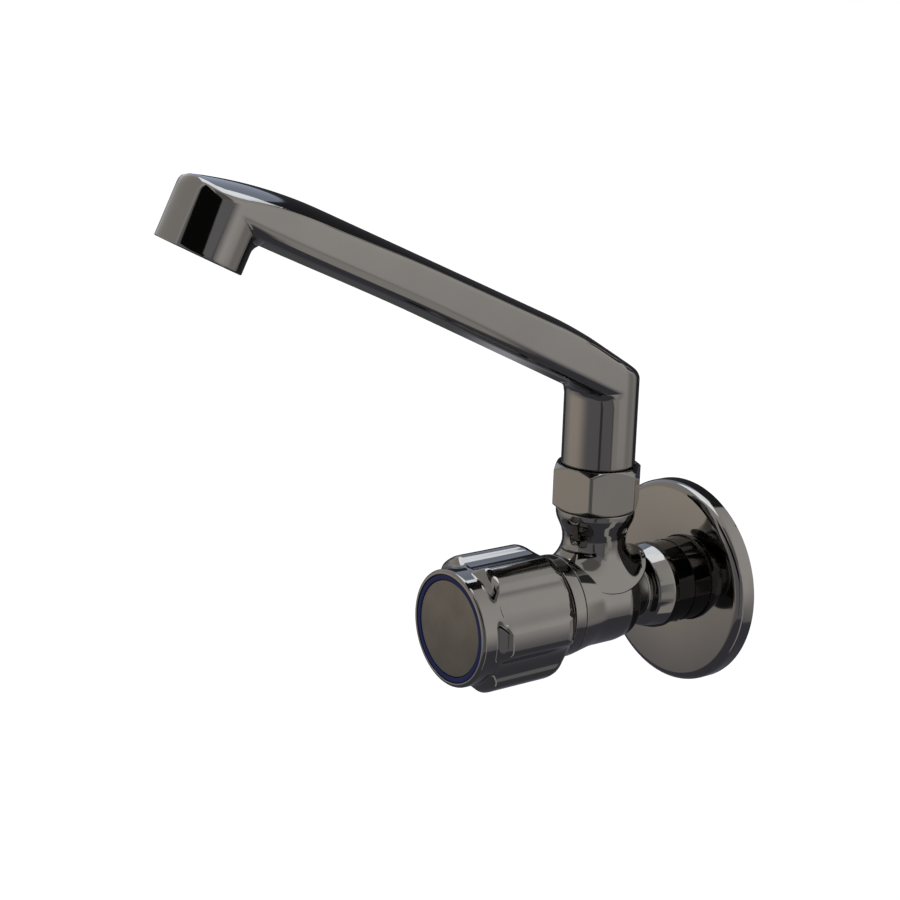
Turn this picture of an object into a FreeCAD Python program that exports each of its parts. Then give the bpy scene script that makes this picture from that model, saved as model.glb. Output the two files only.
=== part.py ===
import FreeCAD, Part
import math
import os
import Sketcher
from FreeCAD import Placement, Rotation, Vector

# Wall-mounted kitchen tap with a swivel spout, in millimetres.
# The origin is the centre of the flange's back, on the inlet axis. +Y goes into the wall, +Z is up.
# "Out" values are distances from the wall, so a point 40 out has Y = -40.
# "Up" values are heights above the inlet axis.

SIZES = {
    # inlet and flange
    "inlet_thread_rad": 10.48, "inlet_reach": 15.0, "water_rad": 6.5, "thread_lead_in": 1.0,
    "flange_rad": 35.0, "flange_depth": 7.1, "flange_wall": 1.2, "flange_round": 2.9,
    "grip_cord_rad": 0.55, "grip_out": 6.4,
    # body
    "band_rad": 14.2, "band_back": 1.0, "band_front": 14.4, "crest_rad": 14.8, "crest_out": 18.0,
    "crest_bow": 4.4, "neck_rad": 9.75, "neck_back": 23.2, "bulb_back": 28.5, "bulb_corner": 6.6,
    "bulb_rad": 15.5, "boss_back": 48.0, "boss_bow": 33.0, "boss_rad": 17.0, "boss_front": 57.0,
    "seat_out": 34.0, "seat_rise": 1.5, "seat_lip": 1.5, "branch_rad": 10.5, "branch_foot": 9.0,
    "branch_waist": 20.0, "branch_flare": 23.5, "cup_hollow": 3.5, "cup_foot": 25.7,
    "cup_foot_rad": 11.3, "cup_bulge": 5.0, "cup_rad": 13.1, "cup_edge": 30.2, "cup_top": 31.6,
    "riser_out": 41.3, "riser_port_rad": 6.0, "socket_floor": 20.0, "socket_top": 41.0,
    "outlet_thread_rad": 11.5,
    # head
    "bonnet_thread_rad": 10.4, "bonnet_back": 45.0, "bonnet_hex_flats": 22.0, "bonnet_hex_front": 66.0,
    "bonnet_front": 72.0, "bonnet_nose_rad": 8.0, "guide_flats": 14.0, "guide_front": 55.0,
    "seal_depth": 1.5, "seal_width": 2.0, "trim_front": 61.5, "trim_round": 1.0,
    "spindle_thread_rad": 4.0, "spindle_back": 45.5, "collar_rad": 6.9, "collar_depth": 1.9,
    "thrust_depth": 1.0, "journal_rad": 4.45, "stem_cord_rad": 0.6, "stem_ring_rad": 3.86,
    "stem_ring_1": 62.0, "stem_ring_2": 66.5, "clip_depth": 0.8, "clip_bed_rad": 3.6, "clip_rad": 5.6,
    "clip_gap": 2.4, "spline_rad": 4.0, "spindle_front": 88.0, "knob_screw_rad": 2.0, "tap_back": 76.0,
    "screw_tip": 78.0, "lift": 4.2, "jumper_rad": 8.3, "washer_depth": 3.0, "jumper_plate": 2.0,
    "jumper_front": 50.0, "washer_screw_rad": 1.6, "washer_screw_grip": 2.6,
    "washer_screw_head_rad": 3.2, "washer_screw_head": 1.8, "screw_edge": 0.5,
    # knob
    "skirt_out": 62.0, "skirt_rad": 17.0, "lobe_rad": 22.3, "lobe_back": 66.5, "lobe_front": 92.0,
    "lobe_count": 6, "flute_rad": 9.7, "flute_floor": 18.8, "flute_front": 94.2,
    "collar_front_rad": 19.0, "collar_back": 94.5, "knob_front": 100.0, "knob_round": 1.2,
    "knob_wall": 2.0, "hub_rad": 7.6, "hub_back": 74.0, "web_back": 92.0, "recess_rad": 17.5,
    "recess_floor": 96.5, "bush_wall": 1.5, "bush_front": 88.2, "head_sink": 6.5, "head_rad": 3.6,
    "head_depth": 2.5, "head_pocket_rad": 4.2, "cap_rad": 15.65, "cap_front": 99.6, "index_front": 99.8,
    "trim_edge": 0.4,
    # outlet nut and spout tail
    "nut_flats": 26.8, "nut_bottom": 31.9, "nut_ledge": 42.8, "nut_floor": 44.6, "nut_top": 46.5,
    "nut_corner": 12.0, "nut_bevel": 1.6, "nut_throat_rad": 8.3, "slip_depth": 0.6, "tail_rad": 7.9,
    "tail_bottom": 22.5, "tail_bore_rad": 4.8, "tail_cord_rad": 0.88, "tail_ring_rad": 7.07,
    "tail_ring_1": 27.0, "tail_ring_2": 31.5, "hold_bottom": 41.06, "hold_depth": 1.4, "hold_rad": 10.2,
    "hold_bed_rad": 6.9, "hold_gap": 7.0,
    # spout
    "riser_rad": 12.1, "riser_bore_rad": 8.5, "spout_top": 87.15, "arm_rise": 23.7, "arm_thick": 19.2,
    "under_rise": 24.7, "arm_round": 4.0, "crown_rad": 26.0, "end_turn": 40.0, "end_turn_out": 150.5,
    "end_turn_rad": 150.0, "elbow_out": 57.5, "elbow_fall": 31.1, "elbow_edge": 3.5, "elbow_lean": 60.0,
    "nozzle_rad": 12.85, "nozzle_tilt": 26.2, "nozzle_out": 187.7, "nozzle_rise": 36.95,
    "nozzle_top": 40.0, "tip_round": 3.0, "riser_bore_foot": 50.5, "riser_bore_drop": 7.65,
    "arm_bore_rad": 4.5, "arm_bore_drop": 9.65, "arm_bore_end": 15.5, "insert_rad": 11.2,
    "insert_wall": 1.8, "insert_depth": 9.0, "insert_recess": 0.3, "outlet_lip": 1.0,
    "screen_depth": 0.8, "screen_hole_rad": 0.8, "screen_pitch": 2.6, "screen_up": 1.6,
    "outlet_seal_depth": 1.5, "outlet_well": 16.0, "outlet_well_rad": 8.4, "mixer_depth": 4.5,
    # clearances
    "fit_gap": 0.05, "bearing_gap": 0.05, "socket_gap": 0.08, "recess_gap": 0.2, "seat_gap": 0.05,
    "collar_gap": 0.3, "lift_spare": 0.3, "cap_gap": 0.3, "seal_play": 0.01, "spindle_play": 0.15,
}


# how far a cut runs past the metal
OVER = 1
# rings of holes in the outlet's screen, counting the one in the middle
SCREEN_RINGS = 3


class Size:
    """A length that knows its value and the sheet expression that it comes from."""

    def __init__(self, value, text):
        self.value = float(value)
        self.text = text

    def joined(self, other, sign, value):
        return Size(value, f"({self.text} {sign} {as_size(other).text})")

    def __add__(self, other):
        return self.joined(other, "+", self.value + as_size(other).value)

    def __sub__(self, other):
        return self.joined(other, "-", self.value - as_size(other).value)

    def __mul__(self, other):
        return self.joined(other, "*", self.value * as_size(other).value)

    def __truediv__(self, other):
        return self.joined(other, "/", self.value / as_size(other).value)

    def __rsub__(self, other):
        return as_size(other) - self

    def __radd__(self, other):
        return as_size(other) + self

    def __rmul__(self, other):
        return as_size(other) * self

    def __neg__(self):
        return Size(-self.value, f"(-{self.text})")


def as_size(value):
    return value if isinstance(value, Size) else Size(value, repr(value))


def root(size):
    return Size(math.sqrt(size.value), f"sqrt({size.text})")


def trig(name, degrees):
    """sin, cos or tan of an angle that is held in degrees."""
    function = {"sin": math.sin, "cos": math.cos, "tan": math.tan}[name]
    return Size(function(math.radians(degrees.value)), f"{name}({degrees.text} * 1deg)")


class Sheet:
    """The spreadsheet of driving sizes. Each size is read as an attribute."""

    def __init__(self, doc):
        self.cells = doc.addObject("Spreadsheet::Sheet", "Sizes")
        for row, (name, value) in enumerate(SIZES.items(), start=1):
            self.cells.set(f"A{row}", name)
            self.cells.set(f"B{row}", str(value))
            self.cells.setAlias(f"B{row}", name)

    def __getattr__(self, name):
        return Size(SIZES[name], f"Sizes.{name}")


doc = FreeCAD.newDocument("WallTap")
size = Sheet(doc)
doc.recompute()
nodes = []


def body(label):
    made = doc.addObject("PartDesign::Body", label)
    made.Label = label
    return made


def keep(made):
    """Count an object as one of the tap's pieces."""
    nodes.append(made)
    return made


def sketch_on(owner, name, role, offset=None):
    """A sketch on one of a body's origin planes, moved along the plane's normal by an offset."""
    plane = next(item for item in owner.Origin.OriginFeatures if item.Role == role)
    made = owner.newObject("Sketcher::SketchObject", name)
    made.AttachmentSupport = (plane, [""])
    made.MapMode = "FlatFace"
    if offset is not None:
        offset = as_size(offset)
        made.AttachmentOffset = Placement(Vector(0, 0, offset.value), Rotation())
        made.setExpression("AttachmentOffset.Base.z", offset.text)
    return made


def hold(sketch, kind, target, value):
    """Bind one coordinate of a sketch point to its expression."""
    value = as_size(value)
    if value.value == 0:
        line = -2 if kind == "DistanceX" else -1
        sketch.addConstraint(Sketcher.Constraint("PointOnObject", target[0], target[1], line))
        return
    number = sketch.addConstraint(Sketcher.Constraint(kind, -1, 1, target[0], target[1], value.value))
    sketch.setExpression(f"Constraints[{number}]", value.text)


def arc_between(start, end, radius, on_left):
    """The shorter arc between two points, with its centre left or right of the way from start to end.

    Returns the curve, which runs counterclockwise, and the numbers of its ends at start and at end.
    """
    chord = end - start
    middle = (start + end) * 0.5
    left = Vector(-chord.y, chord.x, 0).normalize()
    height = math.sqrt(max(radius ** 2 - (chord.Length / 2) ** 2, 0))
    centre = middle + left * (height if on_left else -height)
    first, last = (start, end) if on_left else (end, start)
    angles = [math.atan2(point.y - centre.y, point.x - centre.x) for point in (first, last)]
    curve = Part.ArcOfCircle(Part.Circle(centre, Vector(0, 0, 1), radius), angles[0], angles[1])
    return (curve, 1, 2) if on_left else (curve, 2, 1)


def draw(sketch, outline):
    """Draw a closed outline of (x, y) or (x, y, radius) corners.

    The radius makes the edge to the next corner an arc, rounded outwards, or hollowed if negative.
    """
    corners = [(as_size(item[0]), as_size(item[1])) for item in outline]
    arcs = [as_size(item[2]) if len(item) > 2 else None for item in outline]
    points = [Vector(x.value, y.value, 0) for x, y in corners]
    following = points[1:] + points[:1]
    area = sum(a.x * b.y - b.x * a.y for a, b in zip(points, following))
    starts, ends = [], []
    for start, end, arc in zip(points, following, arcs):
        if arc is None:
            number = sketch.addGeometry(Part.LineSegment(start, end))
            first, last = 1, 2
        else:
            on_left = (arc.value > 0) == (area > 0)
            curve, first, last = arc_between(start, end, abs(arc.value), on_left)
            number = sketch.addGeometry(curve)
            bow = arc if arc.value > 0 else -arc
            rule = sketch.addConstraint(Sketcher.Constraint("Radius", number, bow.value))
            sketch.setExpression(f"Constraints[{rule}]", bow.text)
        starts.append((number, first))
        ends.append((number, last))
    for end, start in zip(ends, starts[1:] + starts[:1]):
        sketch.addConstraint(Sketcher.Constraint("Coincident", end[0], end[1], start[0], start[1]))
    for start, (x, y) in zip(starts, corners):
        hold(sketch, "DistanceX", start, x)
        hold(sketch, "DistanceY", start, y)


def spin(owner, name, outline, kind="Revolution"):
    """Turn a (radius, out) outline about the inlet axis."""
    sketch = sketch_on(owner, f"{name}_outline", "XY_Plane")
    draw(sketch, [(item[0], -as_size(item[1])) + tuple(item[2:]) for item in outline])
    return turned_feature(owner, name, sketch, kind)


def spin_up(owner, name, outline, kind="Revolution", out=None):
    """Turn a (radius, up) outline about a vertical axis, at a distance from the wall if given."""
    sketch = sketch_on(owner, f"{name}_outline", "XZ_Plane", out)
    draw(sketch, outline)
    return turned_feature(owner, name, sketch, kind)


def turned_feature(owner, name, sketch, kind):
    made = owner.newObject(f"PartDesign::{kind}", name)
    made.Profile = sketch
    made.ReferenceAxis = (sketch, ["V_Axis"])
    made.Angle = 360
    return made


def turned(label, outline):
    """A piece turned about the inlet axis."""
    made = keep(body(label))
    spin(made, f"{label}_turned", outline)
    return made


def on_riser(made):
    """Stand a piece on the riser's axis."""
    made.setExpression("Placement.Base.y", "-Sizes.riser_out")
    return made


def turned_on_riser(label, outline):
    made = keep(on_riser(body(label)))
    spin_up(made, f"{label}_turned", outline)
    return made


def polygon(flats, sides, first_angle):
    """Corners of a regular polygon, given its width across flats."""
    corner = flats / (2 * math.cos(math.pi / sides))
    angles = [math.radians(first_angle + 360 * step / sides) for step in range(sides)]
    return [(corner * math.cos(angle), corner * math.sin(angle)) for angle in angles]


def extrude(owner, name, role, outline, start, length, kind="Pad"):
    """Pad or pocket an outline from a plane at start, along the plane's normal."""
    sketch = sketch_on(owner, f"{name}_outline", role, start)
    draw(sketch, outline)
    return extruded(owner, name, sketch, length, kind)


def extruded(owner, name, sketch, length, kind):
    made = owner.newObject(f"PartDesign::{kind}", name)
    made.Profile = sketch
    length = as_size(length)
    made.Length = length.value
    made.setExpression("Length", length.text)
    made.Reversed = kind == "Pocket"
    return made


def rectangle(left, right, bottom, top):
    return [(left, bottom), (right, bottom), (right, top), (left, top)]


def o_rings(label, ring_rad, cord_rad, centres, turn):
    """A node of round sealing rings, one at each centre."""
    rings = []
    for number, (out, up) in enumerate(centres, start=1):
        ring = doc.addObject("Part::Torus", f"{label}_{number}")
        ring.setExpression("Radius1", ring_rad.text)
        ring.setExpression("Radius2", cord_rad.text)
        ring.Placement = Placement(Vector(0, 0, 0), turn)
        ring.setExpression("Placement.Base.y", (-as_size(out)).text)
        ring.setExpression("Placement.Base.z", as_size(up).text)
        rings.append(ring)
    made = doc.addObject("Part::Compound", label)
    made.Label = label
    made.Links = rings
    return keep(made)


INLET_TURN = Rotation(Vector(1, 0, 0), 90)
RISER_TURN = Rotation()


def make_tap_body():
    """The brass casting: inlet, collar, bulb with the valve chamber, and the riser socket."""
    made = keep(body("tap_body"))
    s = size
    groove_half = s.grip_cord_rad + s.fit_gap
    groove_floor = s.band_rad - 2 * s.grip_cord_rad
    foot_rad = root(s.bulb_rad * s.bulb_rad - s.branch_foot * s.branch_foot)
    spin(made, "inlet_and_bulb", [
        (s.water_rad, -s.inlet_reach),
        (s.inlet_thread_rad - s.thread_lead_in, -s.inlet_reach),
        (s.inlet_thread_rad, s.thread_lead_in - s.inlet_reach),
        (s.inlet_thread_rad, s.band_back),
        (s.band_rad, s.band_back),
        (s.band_rad, s.grip_out - groove_half),
        (groove_floor, s.grip_out - groove_half),
        (groove_floor, s.grip_out + groove_half),
        (s.band_rad, s.grip_out + groove_half),
        (s.band_rad, s.band_front, s.crest_bow),
        (s.crest_rad, s.crest_out, s.crest_rad - s.neck_rad),
        (s.neck_rad, s.neck_back),
        (s.neck_rad, s.bulb_back, s.bulb_corner),
        (s.bulb_rad, s.bulb_back + s.bulb_corner),
        (s.bulb_rad, s.boss_back, -s.boss_bow),
        (s.boss_rad, s.boss_front),
        (s.water_rad, s.boss_front),
    ])
    spin_up(made, "riser_branch", [
        (0, 0),
        (s.bulb_rad, 0, s.bulb_rad),
        (foot_rad, s.branch_foot, -(s.branch_waist - s.branch_foot)),
        (s.branch_rad, s.branch_waist),
        (s.branch_rad, s.branch_flare, -s.cup_hollow),
        (s.cup_foot_rad, s.cup_foot, s.cup_bulge),
        (s.cup_rad, s.cup_edge),
        (s.cup_rad, s.cup_top),
        (s.outlet_thread_rad, s.cup_top),
        (s.outlet_thread_rad, s.socket_top),
        (0, s.socket_top),
    ], out=s.riser_out)
    chamber = s.bonnet_thread_rad + s.fit_gap
    counterbore = chamber + s.seal_width
    lip = s.water_rad + s.seat_lip
    chamber_floor = s.seat_out - s.seat_rise
    spin(made, "valve_chamber", [
        (0, chamber_floor - 2 * s.seat_lip),
        (s.water_rad, chamber_floor - 2 * s.seat_lip),
        (s.water_rad, s.seat_out),
        (lip, s.seat_out),
        (lip, chamber_floor),
        (chamber, chamber_floor),
        (chamber, s.boss_front - s.seal_depth),
        (counterbore, s.boss_front - s.seal_depth),
        (counterbore, s.boss_front + OVER),
        (0, s.boss_front + OVER),
    ], kind="Groove")
    socket = s.tail_rad + s.socket_gap
    spin_up(made, "riser_socket", [
        (0, 0),
        (s.riser_port_rad, 0),
        (s.riser_port_rad, s.socket_floor),
        (socket, s.socket_floor),
        (socket, s.socket_top + OVER),
        (0, s.socket_top + OVER),
    ], kind="Groove", out=s.riser_out)


def make_flange():
    """The pressed cover plate, open at the back, and the ring that grips it on the body."""
    s = size
    inner = s.flange_rad - s.flange_wall
    back_of_face = s.flange_depth - s.flange_wall
    hole = s.band_rad + s.fit_gap
    turned("wall_flange", [
        (hole, back_of_face),
        (inner - (s.flange_round - s.flange_wall), back_of_face, -(s.flange_round - s.flange_wall)),
        (inner, s.flange_depth - s.flange_round),
        (inner, 0),
        (s.flange_rad, 0),
        (s.flange_rad, s.flange_depth - s.flange_round, s.flange_round),
        (s.flange_rad - s.flange_round, s.flange_depth),
        (hole, s.flange_depth),
    ])
    ring_rad = s.band_rad - s.grip_cord_rad
    o_rings("flange_grip_ring", ring_rad, s.grip_cord_rad, [(s.grip_out, 0)], INLET_TURN)


def make_bonnet():
    """The head's housing, with its sealing washer and the trim ring that it clamps."""
    s = size
    guide = s.guide_flats / 2
    thrust_seat = s.guide_front + s.collar_depth + s.thrust_depth + s.spindle_play + s.collar_gap
    journal = s.journal_rad + s.fit_gap
    made = turned("bonnet", [
        (guide, s.bonnet_back),
        (s.bonnet_thread_rad, s.bonnet_back),
        (s.bonnet_thread_rad, s.bonnet_hex_front),
        (s.bonnet_nose_rad, s.bonnet_hex_front),
        (s.bonnet_nose_rad, s.bonnet_front),
        (journal, s.bonnet_front),
        (journal, thrust_seat),
        (guide, thrust_seat),
    ])
    hexagon = polygon(s.bonnet_hex_flats, 6, 0)
    extrude(made, "bonnet_hex", "XZ_Plane", hexagon, s.trim_front, s.bonnet_hex_front - s.trim_front)
    bore = sketch_on(made, "bonnet_hex_bore_outline", "XZ_Plane", s.bonnet_hex_front)
    circle = bore.addGeometry(Part.Circle(Vector(0, 0, 0), Vector(0, 0, 1), journal.value))
    bore.addConstraint(Sketcher.Constraint("Coincident", circle, 3, -1, 1))
    rule = bore.addConstraint(Sketcher.Constraint("Radius", circle, journal.value))
    bore.setExpression(f"Constraints[{rule}]", journal.text)
    cut = made.newObject("PartDesign::Pocket", "bonnet_hex_bore")
    cut.Profile = bore
    cut.setExpression("Length", (s.bonnet_hex_front - s.trim_front).text)
    extrude(made, "jumper_guide", "XZ_Plane", polygon(s.guide_flats, 6, 0),
            s.bonnet_back, s.guide_front - s.bonnet_back, kind="Pocket")
    clear = s.bonnet_thread_rad + s.fit_gap
    turned("bonnet_seal", [
        (clear, s.boss_front - s.seal_depth),
        (clear + s.seal_width - s.fit_gap, s.boss_front - s.seal_depth),
        (clear + s.seal_width - s.fit_gap, s.boss_front),
        (clear, s.boss_front),
    ])
    turned("bonnet_trim_ring", [
        (clear, s.boss_front),
        (s.boss_rad - s.trim_round, s.boss_front, s.trim_round),
        (s.boss_rad, s.boss_front + s.trim_round),
        (s.boss_rad, s.trim_front - s.trim_round, s.trim_round),
        (s.boss_rad - s.trim_round, s.trim_front),
        (clear, s.trim_front),
    ])


def make_spindle():
    """The spindle that turns with the knob without rising, and what holds and seals it."""
    s = size
    collar_back = s.guide_front + s.collar_gap
    collar_front = collar_back + s.collar_depth
    groove = s.stem_cord_rad + s.fit_gap
    bed = s.stem_ring_rad - s.stem_cord_rad - s.seal_play
    clip_back = s.bonnet_front + s.bearing_gap
    clip_slot = clip_back + s.clip_depth + s.bearing_gap
    outline = [
        (0, s.spindle_back),
        (s.spindle_thread_rad, s.spindle_back),
        (s.spindle_thread_rad, collar_back),
        (s.collar_rad, collar_back),
        (s.collar_rad, collar_front),
        (s.journal_rad, collar_front),
    ]
    for ring in (s.stem_ring_1, s.stem_ring_2):
        outline += [
            (s.journal_rad, ring - groove),
            (bed, ring - groove),
            (bed, ring + groove),
            (s.journal_rad, ring + groove),
        ]
    outline += [
        (s.journal_rad, clip_back),
        (s.clip_bed_rad, clip_back),
        (s.clip_bed_rad, clip_slot),
        (s.spline_rad, clip_slot),
        (s.spline_rad, s.spindle_front),
        (s.knob_screw_rad + s.fit_gap, s.spindle_front),
        (s.knob_screw_rad + s.fit_gap, s.tap_back),
        (0, s.tap_back),
    ]
    turned("spindle", outline)
    washer_back = collar_front + s.bearing_gap
    turned("thrust_washer", [
        (s.journal_rad + s.fit_gap, washer_back),
        (s.collar_rad, washer_back),
        (s.collar_rad, washer_back + s.thrust_depth),
        (s.journal_rad + s.fit_gap, washer_back + s.thrust_depth),
    ])
    o_rings("spindle_seals", s.stem_ring_rad, s.stem_cord_rad,
            [(s.stem_ring_1, 0), (s.stem_ring_2, 0)], INLET_TURN)
    clip = turned("spindle_circlip", [
        (s.clip_bed_rad + s.fit_gap, clip_back),
        (s.clip_rad, clip_back),
        (s.clip_rad, clip_back + s.clip_depth),
        (s.clip_bed_rad + s.fit_gap, clip_back + s.clip_depth),
    ])
    extrude(clip, "clip_split", "XZ_Plane", rectangle(-s.clip_gap / 2, s.clip_gap / 2, 0, s.clip_rad + OVER),
            clip_back - OVER, s.clip_depth + 2 * OVER, kind="Pocket")


def make_jumper():
    """The plunger that slides in the bonnet, with its washer and the screw that holds it."""
    s = size
    back = s.seat_out + s.seat_gap + s.washer_depth
    plate_front = back + s.jumper_plate
    bore_floor = s.spindle_back - s.lift - s.lift_spare
    screw_hole = s.washer_screw_rad + s.fit_gap
    spindle_hole = s.spindle_thread_rad + s.fit_gap
    made = turned("jumper", [
        (screw_hole, back),
        (s.jumper_rad, back),
        (s.jumper_rad, plate_front),
        (spindle_hole, plate_front),
        (screw_hole, plate_front),
    ])
    slide_flats = s.guide_flats - 4 * s.fit_gap
    extrude(made, "jumper_hex", "XZ_Plane", polygon(slide_flats, 6, 0),
            plate_front, s.jumper_front - plate_front)
    spin(made, "jumper_bores", [
        (0, back),
        (screw_hole, back),
        (screw_hole, back + s.washer_screw_grip + s.fit_gap),
        (0, back + s.washer_screw_grip + s.fit_gap),
    ], kind="Groove")
    spin(made, "jumper_thread", [
        (0, bore_floor),
        (spindle_hole, bore_floor),
        (spindle_hole, s.jumper_front + OVER),
        (0, s.jumper_front + OVER),
    ], kind="Groove")
    washer_back = s.seat_out + s.seat_gap
    turned("jumper_washer", [
        (screw_hole, washer_back),
        (s.jumper_rad, washer_back),
        (s.jumper_rad, back),
        (screw_hole, back),
    ])
    turned("jumper_screw", [
        (0, washer_back - s.washer_screw_head),
        (s.washer_screw_head_rad - s.screw_edge, washer_back - s.washer_screw_head, s.screw_edge),
        (s.washer_screw_head_rad, washer_back - s.washer_screw_head + s.screw_edge),
        (s.washer_screw_head_rad, washer_back),
        (s.washer_screw_rad, washer_back),
        (s.washer_screw_rad, back + s.washer_screw_grip),
        (0, back + s.washer_screw_grip),
    ])


def make_knob():
    """The lobed handle shell with its hub, and the pieces that fix and finish it."""
    s = size
    hub_bore = s.spline_rad + s.fit_gap + s.bush_wall + s.fit_gap
    cavity = s.skirt_rad - s.knob_wall
    head_seat = s.recess_floor - s.head_sink
    made = turned("knob", [
        (hub_bore, s.hub_back),
        (s.hub_rad, s.hub_back),
        (s.hub_rad, s.web_back),
        (cavity, s.web_back),
        (cavity, s.skirt_out),
        (s.skirt_rad, s.skirt_out),
        (s.lobe_rad, s.lobe_back),
        (s.lobe_rad, s.lobe_front),
        (s.collar_front_rad, s.collar_back),
        (s.collar_front_rad, s.knob_front - s.knob_round, s.knob_round),
        (s.collar_front_rad - s.knob_round, s.knob_front),
        (s.recess_rad, s.knob_front),
        (s.recess_rad, s.recess_floor),
        (s.head_pocket_rad, s.recess_floor),
        (s.head_pocket_rad, head_seat),
        (s.knob_screw_rad + 2 * s.fit_gap, head_seat),
        (s.knob_screw_rad + 2 * s.fit_gap, s.bush_front),
        (hub_bore, s.bush_front),
    ])
    flute = sketch_on(made, "flute_outline", "XZ_Plane", s.skirt_out)
    reach = s.flute_floor + s.flute_rad
    half_pitch = math.pi / SIZES["lobe_count"]
    across, along = reach * math.cos(half_pitch), reach * math.sin(half_pitch)
    centre = Vector(across.value, along.value, 0)
    circle = flute.addGeometry(Part.Circle(centre, Vector(0, 0, 1), s.flute_rad.value))
    hold(flute, "DistanceX", (circle, 3), across)
    hold(flute, "DistanceY", (circle, 3), along)
    rule = flute.addConstraint(Sketcher.Constraint("Radius", circle, s.flute_rad.value))
    flute.setExpression(f"Constraints[{rule}]", s.flute_rad.text)
    scallop = extruded(made, "flute", flute, s.flute_front - s.skirt_out, "Pocket")
    flutes = made.newObject("PartDesign::PolarPattern", "flutes")
    flutes.Originals = [scallop]
    flutes.Axis = (flute, ["N_Axis"])
    flutes.Angle = 360
    flutes.setExpression("Occurrences", s.lobe_count.text)
    made.Tip = flutes
    bush_bore = s.spline_rad + s.fit_gap
    turned("knob_bush", [
        (bush_bore, s.hub_back),
        (bush_bore + s.bush_wall, s.hub_back),
        (bush_bore + s.bush_wall, s.bush_front),
        (bush_bore, s.bush_front),
    ])
    turned("knob_screw", [
        (0, s.screw_tip),
        (s.knob_screw_rad, s.screw_tip),
        (s.knob_screw_rad, head_seat),
        (s.head_rad, head_seat),
        (s.head_rad, head_seat + s.head_depth - s.screw_edge, s.screw_edge),
        (s.head_rad - s.screw_edge, head_seat + s.head_depth),
        (0, head_seat + s.head_depth),
    ])
    turned("index_ring", [
        (s.cap_rad + s.fit_gap, s.recess_floor),
        (s.recess_rad - s.fit_gap, s.recess_floor),
        (s.recess_rad - s.fit_gap, s.index_front - s.trim_edge, s.trim_edge),
        (s.recess_rad - s.fit_gap - s.trim_edge, s.index_front),
        (s.cap_rad + s.fit_gap, s.index_front),
    ])
    stem = s.head_pocket_rad - s.fit_gap
    turned("index_cap", [
        (0, head_seat + s.head_depth + s.cap_gap),
        (stem, head_seat + s.head_depth + s.cap_gap),
        (stem, s.recess_floor),
        (s.cap_rad, s.recess_floor),
        (s.cap_rad, s.cap_front - s.trim_edge, s.trim_edge),
        (s.cap_rad - s.trim_edge, s.cap_front),
        (0, s.cap_front),
    ])


def make_outlet_nut():
    """The hexagonal nut that holds the swivel spout on the body, and the washer in its top."""
    s = size
    nut = keep(on_riser(body("spout_nut")))
    extrude(nut, "nut_hex", "XY_Plane", polygon(s.nut_flats, 6, SIZES["nut_corner"]),
            s.nut_bottom, s.nut_top - s.nut_bottom)
    recess = s.riser_rad + s.recess_gap
    thread = s.outlet_thread_rad + s.fit_gap
    spin_up(nut, "nut_bore", [
        (0, s.nut_bottom - OVER),
        (thread, s.nut_bottom - OVER),
        (thread, s.nut_ledge),
        (s.nut_throat_rad, s.nut_ledge),
        (s.nut_throat_rad, s.nut_floor),
        (recess, s.nut_floor),
        (recess, s.nut_top + OVER),
        (0, s.nut_top + OVER),
    ], kind="Groove")
    corner = s.nut_flats / (2 * math.cos(math.pi / 6))
    for name, edge, outwards in (("nut_top_bevel", s.nut_top, 1), ("nut_bottom_bevel", s.nut_bottom, -1)):
        spin_up(nut, name, [
            (s.nut_flats / 2, edge),
            (corner + OVER, edge - outwards * s.nut_bevel),
            (corner + OVER, edge + outwards * OVER),
            (s.nut_flats / 2, edge + outwards * OVER),
        ], kind="Groove")
    turned_on_riser("slip_washer", [
        (s.nut_throat_rad, s.nut_floor),
        (recess - s.fit_gap, s.nut_floor),
        (recess - s.fit_gap, s.nut_floor + s.slip_depth),
        (s.nut_throat_rad, s.nut_floor + s.slip_depth),
    ])


def arm_up(out):
    """Height of the arm's top line at a distance from the wall."""
    return size.spout_top + (out - size.riser_out) * trig("tan", size.arm_rise)


def under_up(out):
    """Height of the arm's underside at a distance from the wall."""
    return size.spout_top - size.arm_thick + (out - size.riser_out) * trig("tan", size.under_rise)


def nozzle_point(along, up):
    """A point (Y, Z) in the spout's plane: across the nozzle from the outlet's centre, and up its axis."""
    cos, sin = trig("cos", size.nozzle_tilt), trig("sin", size.nozzle_tilt)
    y = -size.nozzle_out - along * cos + up * sin
    z = size.spout_top + size.nozzle_rise + along * sin + up * cos
    return y, z


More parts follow.
